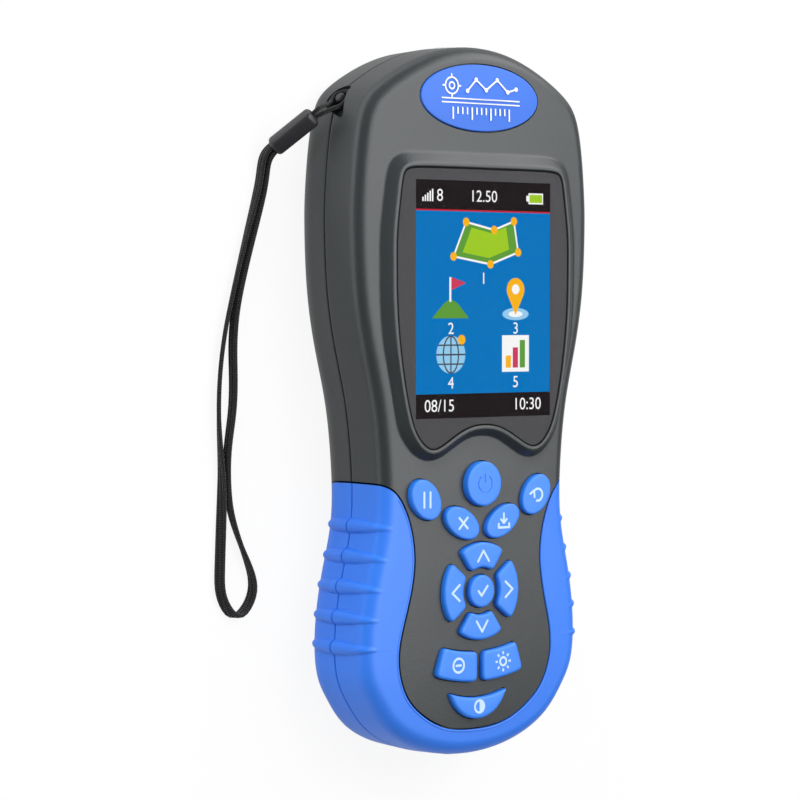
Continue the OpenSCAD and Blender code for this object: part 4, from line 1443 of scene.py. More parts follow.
@dataclass
class Grip:
    """Soft blue skins over the lower half, with ribs on both sides."""

    case: Case
    finishes: Finishes
    count: int = 5
    first: float = 16.7
    pitch: float = 7.3
    radius: float = 1.9
    out: float = 1.4
    length: float = 13.4
    bond: float = 0.05
    bead_width: float = 0.6
    bead_sunk: float = 0.16
    bead_margin: float = 0.5
    bead_top: float = 27.0
    taper: float = 0.35
    soft: float = 0.14
    least: float = 0.02
    fade: float = 0.6
    side_from: float = 20.0
    port_level: float = 18.85
    port_half: float = 3.1
    port_round: float = 2.35
    port_past: float = 3.0
    port_depth: float = 8.0
    rib_margin: float = 3.0
    spacing: float = 1.0
    rib_spacing: float = 0.3
    columns: int = 10

    def ribs(self, travel: Points, loop: Points) -> Points:
        """How far the ribs stand out.

        Args:
            travel: Way from the parting line, at each point.
            loop: The outline in plan.

        Returns:
            The height of the ribs at each point.
        """
        t = np.clip(travel / self.length, 0, 1)
        out = self.out * (1 - t**2)
        r = self.radius * np.sqrt(1 - t**2) * (1 - self.taper * t) + self.least
        total = np.zeros(len(loop))
        for i in range(self.count):
            across = np.abs(loop[:, 1] - (self.case.ring + self.first - self.pitch * i))
            ridge = out - r + np.sqrt(np.maximum(r**2 - across**2, 0))
            ridge = np.where(across < r, ridge, out - r - (across - r))
            rounded = self.soft * np.logaddexp(0, ridge / self.soft) * (ridge > -self.fade)
            total = np.maximum(total, rounded)
        return np.where((t < 1) & (np.abs(loop[:, 0]) > self.side_from), total, 0)

    def half(self, front: bool) -> Shape:
        """One skin before it is dressed.

        Args:
            front: True for the front skin.

        Returns:
            The skin.
        """
        case = self.case
        highest = case.ring + self.first
        lowest = highest - self.pitch * (self.count - 1)
        span = (lowest - self.rib_margin, highest + self.rib_margin)
        loop = respaced(case.outline, self.spacing, span, self.rib_spacing)
        directions = outward(loop)
        n = len(loop)
        if front:
            rings = case.front_side(loop, directions, self.ribs)
            end, extra = strips(rings[-1], (len(rings) - 1) * n, len(rings) * n, self.columns)
            extra = np.array(extra)
            extra[:, 2] = case.height(extra[:, :2])
        else:
            rings = case.rear_side(loop, directions, self.ribs)
            rings.append(case.back_ring(rings[-1], directions))
            end, extra = strips(rings[-1], (len(rings) - 1) * n)
        start, _ = strips(rings[0], 0)
        skin = lofted("grip_front_skin" if front else "grip_rear_skin", rings, [*start, *end], extra)
        carved(skin, punch(case.dark, BELOW, ABOVE))
        core = grown(respaced(case.outline, case.core_spacing), self.bond - case.skin)
        return carved(skin, punch(core, case.core_low - self.bond, case.core_top + self.bond))

    def bead(self) -> Shape:
        """Rounded edge of the front skin along the dark pad.

        Returns:
            The bead.
        """
        case = self.case
        line = grown(case.dark, self.bead_width / 2)
        line = np.roll(line, -int(np.argmax(line[:, 1])), axis=0)
        inside = np.abs(line[:, 0]) < case.waist - case.front_round - self.bead_margin
        line = line[inside & (line[:, 1] < case.ring + self.bead_top)]
        path = np.column_stack([line, case.height(line) - self.bead_sunk])
        return swept("grip_edge_bead", path, unit_circle(12) * self.bead_width / 2)

    def port(self) -> Shape:
        """Cutter for the charging port in the bottom end.

        Returns:
            The tool.
        """
        low, half, z, r = -self.case.top, self.port_half, self.port_level, self.port_round
        section = np.vstack([arc((half, z), r, 90, -90, 12), arc((-half, z), r, 270, 90, 12)])
        ends = (low - self.port_past, low + self.port_depth)
        rings = [np.insert(section, 1, y, axis=1) for y in ends]
        return lofted("cutter", rings, end_faces(rings))

    def build(self) -> list[Shape]:
        """Makes and dresses both skins.

        Returns:
            The pieces.
        """
        made = []
        for front, node in ((True, "grip_front"), (False, "grip_rear")):
            skin = self.half(front)
            if front:
                carved(skin, self.port())
            shade(skin, 30)
            self.finishes.dress(skin, "grip_blue")
            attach(skin, "housing")
            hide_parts(node)
            made.append(skin)
        bead = self.finishes.dress(self.bead(), "grip_blue")
        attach(bead, "housing")
        return [*made, bead]


@dataclass
class Badge:
    """Oval plate over the screen with a plain target, lines and a scale of ticks."""

    case: Case
    finishes: Finishes
    width: float = 37.4
    height: float = 16.3
    drop: float = 12.9
    gap: float = 0.3
    low: float = 26.1
    proud: float = 0.3
    thick: float = 1.9
    edge: float = 0.32
    crown: Sequence = ((1.2, 0.02), (2.0, 0.01), (2.0, 0.005))
    line: float = 0.42
    rule: float = 0.32
    ink: float = 0.04
    dot_ink: float = 0.05
    lift: float = 0.035
    aim_at: tuple[float, float] = (-9.3, 2.7)
    aim_radii: tuple[float, float] = (2.2, 1.0)
    aim_line: float = 0.4
    aim_tick: tuple[float, float] = (1.8, 2.9)
    rule_half: float = 12.5
    rule_ups: tuple[float, float] = (-1.35, -0.35)
    ticks: int = 13
    tick_pitch: float = 1.5
    tick_top: float = -2.4
    tick_lengths: tuple[float, float] = (3.0, 1.7)
    dot: float = 1.1
    TRACK = ((-4.4, 1.6), (-1.6, 4.4), (1.6, 2.0), (5.2, 4.6), (8.6, 1.8), (11.4, 2.6))

    @property
    def middle(self) -> tuple[float, float]:
        """Its middle in plan."""
        return (0.0, self.case.top - self.drop)

    def outline(self, grow: float = 0) -> Points:
        """Its outline, made larger all round by a distance."""
        return oval((self.width + 2 * grow, self.height + 2 * grow), self.middle, count=120)

    def onto_face(self, shape: Shape, over: float) -> None:
        """Bends a flat piece, made around height zero, onto the badge's crowned top.

        Args:
            shape: The piece.
            over: Height over the face.
        """
        for vertex in shape.data.vertices:
            x, y = vertex.co.x / MM, vertex.co.y / MM
            vertex.co.z += (self.case.height_at(x, y) + over) * MM

    def marks(self) -> list[Shape]:
        """Flat marks around height zero: a target, two rules, a scale and a track of points.

        Returns:
            The marks.
        """
        x, y = self.middle
        made = []
        aim = np.add(self.middle, self.aim_at)
        for r in self.aim_radii:
            ring = plate("mark", disc(aim, 2 * r, 48), 0, self.ink)
            made.append(carved(ring, punch(disc(aim, 2 * (r - self.aim_line), 48), -1, 1)))
        ways = np.vstack([np.eye(2), -np.eye(2)])
        strokes = [bar(*[aim + end * way for end in self.aim_tick], self.line) for way in ways]
        left, right = x - self.rule_half, x + self.rule_half
        strokes += [self.ruled(left, right, y + up, self.rule) for up in self.rule_ups]
        high, (tall, short) = y + self.tick_top, self.tick_lengths
        for i in range(self.ticks):
            at = x + self.tick_pitch * (i - (self.ticks - 1) / 2)
            low = high - (short if i % 4 else tall)
            strokes.append(bar((at, low), (at, high), self.line))
        track = np.array(self.TRACK) + self.middle
        strokes += [bar(a, b, self.line) for a, b in zip(track[:-1], track[1:])]
        made += [plate("mark", stroke, 0, self.ink) for stroke in strokes]
        return made + [plate("mark", disc(p, self.dot, 20), 0, self.dot_ink) for p in track]

    def build(self) -> list[Shape]:
        """Makes the plate and its marks.

        Returns:
            The pieces.
        """
        base = plate("badge_plate_top", self.outline(), -self.thick, 0)
        rounded_top(base, self.edge, 4, self.crown)
        bottom = min(v.co.z for v in base.data.vertices)
        underside = [v for v in base.data.vertices if v.co.z <= bottom + SAME]
        self.onto_face(base, self.proud)
        for vertex in underside:
            vertex.co.z = self.low * MM
        shade(base, 40)
        self.finishes.dress(base, "badge_blue")
        print_layer = joined("badge_marks", self.marks())
        self.onto_face(print_layer, self.proud + self.lift)
        self.finishes.dress(print_layer, "badge_ink")
        for shape in (base, print_layer):
            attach(shape, "housing")
        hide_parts("badge_plate")
        return [base, print_layer]

    @staticmethod
    def ruled(x0: float, x1: float, y: float, width: float) -> Points:
        """Outline of a level line with points along it, so that it can follow the crown.

        Args:
            x0: Left end.
            x1: Right end.
            y: Middle of the line.
            width: Its width.

        Returns:
            The outline.
        """
        x = np.linspace(x0, x1, 12)
        upper = np.column_stack([x, np.full(12, y + width / 2)])
        return np.vstack([upper, upper[::-1] - [0, width]])


# Signs on the keys, in millimetres from a key's middle: arcs by radius, first and last angle and middle
SIGN_ARCS = {
    "back": (1.5, 150, -110, (0.2, -0.1)),
    "cash": (1.7, 0, 360, (0, 0)),
    "light": (1.0, 0, 360, (0, 0)),
    "backlit": (1.5, 0, 360, (0, -0.3)),
}
# Lines of the signs, each along its points
SIGN_LINES = {
    "pause": (((-0.95, 1.8), (-0.95, -1.8)), ((0.95, 1.8), (0.95, -1.8))),
    "back": (((-2.3, 0.2), (-1.0, 1.0), (-0.9, -0.6)),),
    "delete": (((-1.3, 1.3), (1.3, -1.3)), ((-1.3, -1.3), (1.3, 1.3))),
    "save": (
        ((0, 1.8), (0, -0.4)),
        ((-0.9, 0.4), (0, -0.5), (0.9, 0.4)),
        ((-1.7, -0.7), (-1.7, -1.6), (1.7, -1.6), (1.7, -0.7)),
    ),
    "up": (((-1.75, -1.25), (0, 1.35), (1.75, -1.25)),),
    "down": (((-1.75, 1.25), (0, -1.35), (1.75, 1.25)),),
    "left": (((1.15, 1.95), (-1.15, 0), (1.15, -1.95)),),
    "right": (((-1.15, 1.95), (1.15, 0), (-1.15, -1.95)),),
    "enter": (((-1.4, 0.1), (-0.4, -1.1), (1.5, 1.2)),),
    "cash": (((-0.7, 0), (0.7, 0)),),
}


@dataclass
class Keypad:
    """Sprung keys with plain signs."""

    case: Case
    finishes: Finishes
    gap: float = 0.25
    rise: float = 1.4
    round: float = 0.5
    shaped_round: float = 0.7
    crown: Sequence = ((0.5, 0.02), (0.6, 0.012))
    shaped_crown: Sequence = ((0.4, 0.015), (0.9, 0.03))
    shaped_wall: float = 0.6
    depth: float = 5.0
    lowest: float = 23.6
    power_up: float = 26.4
    power_rise: float = 0.3
    power_line: float = 0.42
    power_ring: float = 2.15
    power_sunk: float = 0.1
    power_stem: tuple[float, float] = (0.3, 2.45)
    power_arc: tuple[float, float] = (125, 415)
    ring_radii: tuple[float, float] = (5.9, 12.1)
    row_radii: tuple[float, float] = (41.3, 48.7)
    moon_drop: float = 52.7
    moon_height: float = 5.4
    moon_round: float = 9.5
    moon_top_round: float = 26.0
    moon_half: float = 9.2
    stroke: float = 0.58
    rays: tuple[float, float] = (1.75, 2.5)
    ray_share: float = 0.9
    ink_low: float = 0.03
    ink_high: float = 0.075
    step: float = 0.004
    SHAPED = ("up", "down", "left", "right", "cash", "light", "backlit")

    @property
    def ring(self) -> np.ndarray:
        """Middle of the ring keys."""
        return np.array([0.0, self.case.ring])

    @property
    def power(self) -> np.ndarray:
        """Middle of the power key."""
        return np.array([0.0, self.case.ring + self.power_up])

    def outlines(self) -> dict[str, Points]:
        """Outline of each key, by its name.

        Returns:
            The outlines.
        """
        ring, power = self.ring, self.power
        radii, row = self.ring_radii, self.row_radii
        moon_low = power + [0, -self.moon_drop - self.moon_height + self.moon_round]
        moon_high = power + [0, -self.moon_drop + self.moon_top_round]
        half = math.degrees(math.asin(self.moon_half / self.moon_top_round))
        lower = arc(moon_low, self.moon_round, -18, -162, 8)
        upper = arc(moon_high, self.moon_top_round, 270 - half, 270 + half, 6)
        return {
            "power": oval((11, 11), power),
            "pause": oval((11, 8.2), ring + [-17.7, 23.1], -51),
            "back": oval((11, 8.2), ring + [17.7, 23.1], 51),
            "delete": oval((11.6, 7), ring + [-6.5, 17], -29),
            "save": oval((11.6, 7), ring + [6.5, 17], 29),
            "up": sector(ring, radii, (55, 125), (4, 7)),
            "down": sector(ring, radii, (235, 305), (4, 7)),
            "left": sector(ring, radii, (142, 218), (4, 7)),
            "right": sector(ring, radii, (-38, 38), (4, 7)),
            "enter": oval((8, 8), ring),
            "cash": sector(power, row, (253.4, 268.9), (6, 6)),
            "light": sector(power, row, (271.1, 286.6), (6, 6)),
            "backlit": bspline(np.vstack([lower, upper]), 5),
        }

    @staticmethod
    def middle(loop: Points) -> np.ndarray:
        """Middle of an outline's box."""
        return (loop.max(0) + loop.min(0)) / 2

    def sign(self, key: str, c: np.ndarray) -> list[Points]:
        """Strokes of a key's sign.

        Args:
            key: The key's name.
            c: Middle of the key.

        Returns:
            Outlines of the strokes, none for a key without a sign.
        """
        w = self.stroke
        strokes = []
        if key in SIGN_ARCS:
            radius, start, end, at = SIGN_ARCS[key]
            outer = arc(c + at, radius + w / 2, start, end, 20)
            strokes.append(np.vstack([outer, arc(c + at, radius - w / 2, end, start, 20)]))
        for line in SIGN_LINES.get(key, ()):
            p = [c + np.asarray(q, float) for q in line]
            strokes += [bar(a, b, w) for a, b in zip(p[:-1], p[1:])]
            strokes += [disc(q, w, 16) for q in p]
        if key == "light":
            thin, ends = w * self.ray_share, self.rays
            strokes += [bar(*[c + end * ray for end in ends], thin) for ray in unit_circle(8)]
        if key == "backlit":
            radius, _, _, at = SIGN_ARCS[key]
            strokes.append(arc(c + at, radius, 90, -90, 16))
        return strokes

    def build(self) -> list[Shape]:
        """Makes each key with its sign.

        Returns:
            The pieces.
        """
        made = []
        for key, loop in self.outlines().items():
            c = self.middle(loop)
            top = self.case.height_at(*c) + self.rise + (self.power_rise if key == "power" else 0)
            if key in self.SHAPED:
                cap = self.shaped(f"key_{key}_cap", loop, top)
            else:
                cap = plate(f"key_{key}_cap", loop, self.foot(top), top)
                rounded_top(cap, self.round, 6, self.crown)
            body = f"{key}_key"
            if key == "power":
                self.power_sign(cap, c, top)
            self.finishes.dress(cap, "key_blue")
            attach(cap, body)
            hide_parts(f"key_{key}")
            made.append(cap)
            strokes = self.sign(key, c)
            if strokes:
                low, high = top + self.ink_low, top + self.ink_high
                layers = [plate("stroke", s, low, high + self.step * i) for i, s in enumerate(strokes)]
                ink = joined(f"sign_{key}", layers)
                self.finishes.dress(ink, "sign_ink")
                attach(ink, body)
                made.append(ink)
        return made

    def foot(self, top: float) -> float:
        """Height of a key's underside, which clears the mat when the key is pressed."""
        return max(top - self.depth, self.lowest)

    def shaped(self, name: str, loop: Points, top: float) -> Shape:
        """A key with tight corners, which a bevel would tear.

        Args:
            name: Name of the object.
            loop: Its outline.
            top: Height of its top.

        Returns:
            The key.
        """
        radius = self.shaped_round
        levels = [(0.0, self.foot(top)), (0.0, top - radius - self.shaped_wall)]
        for a in np.radians(np.linspace(0, 90, 8)):
            levels.append((radius * (1 - math.cos(a)), top - radius * (1 - math.sin(a))))
        levels += [(radius + inset, top + rise) for inset, rise in self.shaped_crown]
        rings = []
        for inset, z in levels:
            rings.append(levelled(inset_loop(loop, inset) if inset else loop, z))
        cap = lofted(name, rings, end_faces(rings))
        shade(cap, 40)
        return cap

    def power_sign(self, cap: Shape, c: np.ndarray, top: float) -> None:
        """Sinks a broken ring and a bar into the power key.

        Args:
            cap: The key.
            c: Its middle.
            top: Height of its top.
        """
        w, radius, low = self.power_line, self.power_ring, top - self.power_sunk
        first, last = self.power_arc
        outer, inner = arc(c, radius + w / 2, first, last, 48), arc(c, radius - w / 2, last, first, 48)
        ring = np.vstack([outer, inner])
        stem = bar(*[c + [0, up] for up in self.power_stem], w)
        carved(cap, joined("cutter", [punch(cut, low, top + 1) for cut in (ring, stem)]))
        shade(cap, 40)


@dataclass
class Screen:
    """Lens with its printed border, and the lit picture behind it."""

    case: Case
    finishes: Finishes
    gap: float = 0.42
    half: tuple[float, float] = (21.6, 28.8)
    sheet: float = 0.08
    sheet_round: float = 0.05
    gap_shade_drop: float = 0.1
    base: float = 28.69
    layer: float = 0.014
    film: float = 0.01
    fill: float = 0.8
    margin: float = 0.5
    cut: tuple[float, float] = (20.0, 40.0)
    FIGURES = (
        ("8", 4.2, (-13.9, 25.0)), ("1", 4.0, (0, 5.0)), ("2", 4.0, (-10.4, -7.2)), ("3", 4.0, (10.4, -7.2)),
        ("4", 4.0, (-10.4, -20.4)), ("5", 4.0, (10.4, -20.4)), ("08/15", 4.2, (-14.0, -25.9)),
        ("10:30", 4.2, (14.2, -25.9)), ("12.50", 4.0, (0, 25.0)),
    )

    def build(self) -> list[Shape]:
        """Makes the lens, its border and the picture.

        Returns:
            The pieces.
        """
        case = self.case
        loop = grown(case.lens, -self.gap)
        lens = plate("screen_lens_clear", loop, case.lens_top - self.sheet, case.lens_top)
        rounded_top(lens, self.sheet_round, 3)
        self.finishes.dress(lens, "lens_clear")
        border = plate("lens_border_print", loop, case.lens_seat, case.lens_top - self.sheet - self.film)
        x, y = case.screen_middle
        w, h = self.half
        carved(border, punch(rectangle(x - w, y - h, x + w, y + h), *self.cut))
        self.finishes.dress(border, "lens_border")
        # Near-black ring that fills the gap round the lens to a little below its top: painted shade of the
        # gap.
        rim = grown(case.lens, -self.film)
        gap_shade = plate("lens_gap_shade", rim, case.lens_seat, case.lens_top - self.gap_shade_drop)
        carved(gap_shade, punch(grown(loop, self.film), *self.cut))
        self.finishes.dress(gap_shade, "gap_shade_black")
        pieces = [lens, border, gap_shade]
        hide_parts("screen_lens")
        pieces += self.picture()
        for shape in pieces:
            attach(shape, "housing")
        return pieces

    def area(self, level: int, outline: Sequence) -> Shape:
        """One flat area of the picture, placed from the display's middle.

        Args:
            level: Layer, counted from the lowest.
            outline: Its corners.

        Returns:
            The area.
        """
        x, y = self.case.screen_middle
        low = self.base + self.layer * level
        return plate("area", [(p[0] + x, p[1] + y) for p in outline], low, low + self.layer * self.fill)

    def words(self, text: str, size: float, at: Sequence, level: int) -> Shape:
        """Plain numbers.

        Args:
            text: The figures.
            size: Height of the type.
            at: Their middle, from the display's middle.
            level: Layer.

        Returns:
            A flat mesh.
        """
        clear_selection()
        bpy.ops.object.text_add()
        shape = bpy.context.object
        shape.data.body = text
        shape.data.size = size * MM
        shape.data.align_x = "CENTER"
        shape.data.align_y = "CENTER"
        bpy.ops.object.convert(target="MESH")
        shape = bpy.context.object
        x, y = self.case.screen_middle
        z = self.base + self.layer * (level + self.fill)
        shape.data.transform(Matrix.Translation(((x + at[0]) * MM, (y + at[1]) * MM, z * MM)))
        return shape

    def picture(self) -> list[Shape]:
        """Bars, field, icons and figures, one object for each colour.

        Returns:
            The pieces.
        """
        w, h = self.half[0] + self.margin, self.half[1] + self.margin
        colours: dict[str, list[Shape]] = {}

        def put(colour: str, level: int, *outlines: Sequence) -> None:
            """Adds areas of one colour."""
            colours.setdefault(colour, []).extend(self.area(level, o) for o in outlines)

        put("blue", 0, rectangle(-w, -h, w, h))
        put("black", 1, rectangle(-w, 21.7, w, h), rectangle(-w, -h, w, -22.9))
        put("red", 2, rectangle(-w, 21.35, w, 21.75))
        for i in range(5):
            put("white", 2, rectangle(-19.4 + 0.75 * i, 23.6, -18.95 + 0.75 * i, 24.6 + 0.5 * i))
        put("white", 2, rectangle(14.6, 23.55, 19.4, 26.25), rectangle(13.9, 24.2, 14.6, 25.6))
        put("lime", 3, rectangle(14.95, 23.9, 19.05, 25.9))
        for icon in (self.parcel, self.flag, self.pin, self.globe, self.bars):
            icon(put)
        colours["white"] += [self.words(text, size, at, 4) for text, size, at in self.FIGURES]
        made = []
        for colour, areas in colours.items():
            shape = joined(f"picture_{colour}", areas)
            self.finishes.dress(shape, f"pixel_{colour}")
            made.append(shape)
        return made

    @staticmethod
    def spot(x: float, y: float, width: float) -> Points:
        """Round spot in the picture."""
        return disc((x, y), width, 28)

    def parcel(self, put: Callable) -> None:
        """A plot of land with its corner posts.

        Args:
            put: Function that adds areas of one colour.
        """
        corners = [(-9.6, 10.4), (-5.6, 18.8), (3.4, 17.0), (9.8, 19.2), (11.2, 11.6), (2.2, 8.6)]
        put("green", 1, corners)
        put("lime", 2, [(0.72 * x + 0.2, 0.72 * (y - 14) + 14) for x, y in corners])
        put("white", 3, *[bar(a, b, 0.5) for a, b in zip(corners, corners[1:] + corners[:1])])
        put("amber", 4, *[self.spot(x, y, 2.1) for x, y in corners])

    @staticmethod
    def flag(put: Callable) -> None:
        """A flag on a hill.

        Args:
            put: Function that adds areas of one colour.
        """
        put("green", 1, [(-16.4, -4.6), (-12.8, -1.2), (-10.6, 0.2), (-8.2, -1.0), (-4.6, -4.6)])
        put("white", 2, bar((-10.6, -0.6), (-10.6, 5.4), 0.6))
        put("rose", 3, [(-10.3, 5.4), (-5.6, 4.0), (-10.3, 2.2)])

    def pin(self, put: Callable) -> None:
        """A place pin over a ringed spot.

        Args:
            put: Function that adds areas of one colour.
        """
        x, low = 10.4, -3.6
        put("sky", 1, oval((8.6, 3.0), (x, low), count=40))
        put("white", 2, oval((4.6, 1.5), (x, low), count=32))
        put("amber", 3, np.vstack([arc((x, 2.4), 2.9, 205, -25, 24), [(x, -3.8)]]))
        put("white", 4, self.spot(x, 2.5, 2.5))

    def globe(self, put: Callable) -> None:
        """A globe with its net of lines.

        Args:
            put: Function that adds areas of one colour.
        """
        x, y = -10.4, -13.4
        put("sky", 1, self.spot(x, y, 9.2))
        put("grey", 2, bar((x - 4.6, y), (x + 4.6, y), 0.4), bar((x, y - 4.6), (x, y + 4.6), 0.4))
        turns = np.linspace(-1.5, 1.5, 13)
        for side in (-1, 1):
            bow = np.array([(x + side * 2.4 * math.cos(a), y + 4.5 * math.sin(a)) for a in turns])
            put("grey", 2, *[bar(a, b, 0.4) for a, b in zip(bow[:-1], bow[1:])])
            put("grey", 2, bar((x - 4.0, y + side * 2.3), (x + 4.0, y + side * 2.3), 0.36))
        put("amber", 3, self.spot(x + 3.4, y + 3.6, 2.4))

    @staticmethod
    def bars(put: Callable) -> None:
        """A sheet with a small chart.

        Args:
            put: Function that adds areas of one colour.
        """
        x, y = 10.4, -13.4
        put("white", 1, rectangle(x - 4.4, y - 4.4, x + 4.4, y + 4.6))
        put("amber", 2, rectangle(x - 3.2, y - 3.4, x - 1.5, y - 0.4))
        put("rose", 2, rectangle(x - 0.9, y - 3.4, x + 0.8, y + 1.6))
        put("green", 2, rectangle(x + 1.4, y - 3.4, x + 3.1, y + 3.4))


@dataclass
class Strap:
    """Cord round the pin, slider and flat braid, along the same points as their solids."""

    finishes: Finishes
    notch: Notch
    cord_width: float = 1.1
    braid: tuple[float, float] = (1.1, 2.6)
    braid_level: float = 1.35
    shift: tuple[float, float, float] = (0.0, -0.2, 0.0)
    corner: float = 0.55
    slider_top: tuple[float, float, float] = (-40.2, 69.5, 13.2)
    slider_low: tuple[float, float, float] = (-45.9, 61.9, 4.6)
    slider_size: tuple[float, float, float] = (3.8, 4.5, 13.0)
    slider_round: float = 1.2
    cord_channel: tuple[float, float] = (1.5, 2.8)
    cord_span: tuple[float, float] = (-8.0, -1.1)
    braid_channel: tuple[float, float] = (2.9, 3.0)
    braid_span: tuple[float, float] = (1.9, 8.0)

    def cord_route(self) -> Points:
        """Middle line of the cord, in millimetres.

        Returns:
            The points.
        """
        loop = (
            (-4.79, -2.94, 0.62), (-1.42, -0.15, -1.75), (0.48, 0.75, -2.85), (1.98, 1.0, -3.03),
            (3.08, 1.3, -2.23), (3.73, 1.6, -0.78), (3.58, 1.7, 0.62), (2.08, 1.7, 1.22), (0.28, 1.5, 1.52),
            (-1.52, 0.9, 1.72), (-3.32, -0.3, 1.42),
        )
        start = np.array([(-42.6, 67.3, 10.2), (-40.7, 69.8, 13.2)]) + self.shift
        end = np.array([(-39.7, 69.1, 13.2), (-41.7, 66.6, 10.2)]) + self.shift
        return spline_path([*start, *[self.notch.place(*p) for p in loop], *end], 6)

    def braid_route(self) -> Points:
        """Middle line of the braid, in millimetres.

        Returns:
            The points.
        """
        z = self.braid_level
        flat = [
            (-46.9, 51.7), (-48.9, 44.7), (-51.2, 37.2), (-53.3, 29.8), (-55, 22.2), (-55.7, 14.2),
            (-55.6, 6.2), (-56, -1.8), (-57.2, -9.8), (-57.5, -17.8), (-56.4, -25.8), (-53.4, -33.8),
            (-50.6, -40.3), (-50.4, -46.3), (-54.8, -50.7), (-59, -46.3), (-59.7, -39.8), (-59.4, -31.8),
            (-59.1, -23.8), (-59.1, -15.8), (-59.7, -6.8), (-59.8, 2.2), (-59.1, 10.7), (-57.6, 19.2),
            (-55.3, 28.2), (-52.7, 37.4), (-50.3, 45.2), (-48.3, 52),
        ]
        start = [(-43.6, 63.77, 7.2), (-45.32, 61.47, 4.6), (-46.1, 59.2, 2.6), (-46.2, 56.2, 1.6)]
        end = [(-47.6, 56.4, 1.6), (-47.4, 59.9, 2.6), (-46.48, 62.33, 4.6), (-44.76, 64.63, 7.2)]
        return spline_path([*start, *[(x, y, z) for x, y in flat], *end], 5) + self.shift

    @staticmethod
    def braid_uprights(count: int) -> Points:
        """Direction of the braid's broad side at each point, as it twists from limb to limb.

        Args:
            count: Number of points.

        Returns:
            A direction for each point.
        """
        turns = (
            (0, 0), (0.12, 18), (0.24, 10), (0.38, 0), (0.43, -25), (0.47, 10), (0.5, 35), (0.54, 48),
            (0.57, 50), (0.6, 40), (0.64, 15), (0.67, -15), (0.7, -35), (0.77, -38), (0.82, -28),
            (0.88, 0), (1, 0),
        )
        shares, degrees = zip(*turns)
        lean = np.radians(np.interp(np.linspace(0, 1, count), shares, degrees))
        return np.column_stack([np.sin(lean), np.zeros(count), np.cos(lean)])

    @staticmethod
    def length(path: Points) -> float:
        """Length of a path in metres."""
        return float(np.linalg.norm(np.diff(path, axis=0), axis=1).sum()) * MM

    def build(self) -> list[Shape]:
        """Makes the cord, the slider and the braid, and logs the lengths of both cords.

        Returns:
            The pieces.
        """
        ring = unit_circle(16)
        route = self.cord_route()
        cord = swept("lanyard_cord_yarn", route, ring * self.cord_width / 2, self.notch.inwards)
        self.finishes.dress(cord, "cord_yarn")
        square = np.sign(ring) * np.abs(ring) ** self.corner * np.array(self.braid) / 2
        lay = self.braid_route()
        braid = swept("wrist_strap_braid", lay, square, self.braid_uprights(len(lay)))
        self.finishes.dress(braid, "strap_yarn")
        slider = self.slider()
        for shape, node, slot in (
            (cord, "lanyard_cord", "cord"), (braid, "wrist_strap", "cord"), (slider, "strap_slider", "slider")
        ):
            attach(shape, "housing")
            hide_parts(node)
        self.length(route)
        self.length(lay)
        LOG.info("cord %.1f mm, braid %.1f mm", self.length(route) / MM, self.length(lay) / MM)
        return [cord, braid, slider]

    def slider(self) -> Shape:
        """Moulded slider with rounded edges and channels at both ends.

        Returns:
            The slider.
        """
        shift = Vector(self.shift)
        top, low = Vector(self.slider_top) + shift, Vector(self.slider_low) + shift
        way = (low - top).normalized()
        clear_selection()
        bpy.ops.mesh.primitive_cube_add(size=MM)
        shape = bpy.context.object
        shape.name = shape.data.name = "strap_slider_body"
        shape.data.transform(Matrix.Diagonal((*self.slider_size, 1)))
        pick(shape)
        modifier = shape.modifiers.new("edges", "BEVEL")
        modifier.width = self.slider_round * MM
        modifier.segments = 6
        modifier.limit_method = "NONE"
        bpy.ops.object.modifier_apply(modifier=modifier.name)
        channels = []
        for size, span in ((self.cord_channel, self.cord_span), (self.braid_channel, self.braid_span)):
            corners = np.array([(-1, -1), (-1, 1), (1, 1), (1, -1)]) * np.array(size) / 2
            channels.append(punch(bspline(np.repeat(corners, 2, axis=0), 4), *span))
        carved(shape, joined("cutter", channels))
        heading = Matrix.Rotation(math.atan2(way.y, way.x), 4, "Z")
        turn = heading @ Matrix.Rotation(math.acos(way.z), 4, "Y")
        centre = (top + way * self.slider_size[2] / 2) * MM
        shape.data.transform(Matrix.Translation(centre) @ turn)
        shade(shape, 35)
        return self.finishes.dress(shape, "slider_black")


class Inside:
    """Solids that stay as they are and only get a finish."""

    WEAR = {
        "display_glass": "pixel_black", "display_holder": "white_plastic", "main_board": "board_green",
        "key_mat": "mat_grey", "dome_switches": "plated_steel", "patch_antenna": "ceramic_cream",
        "receiver_module": "plated_steel", "battery": "cell_foil", "charge_socket": "plated_steel",
        "port_plug": "grip_blue", "torch_lens": "torch_clear", "torch_led": "torch_clear",
        "case_screws": "plated_steel", "strap_pin": "slider_black",
    }

    def build(self, finishes: Finishes) -> None:
        """Dresses each node."""
        for node, finish in self.WEAR.items():
            finishes.dress(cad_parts[node], finish)


class Light(Enum):
    """What a lamp shows in: reflections, plain shading or both."""

    SHINE = "shine"
    FILL = "fill"
    BOTH = "both"


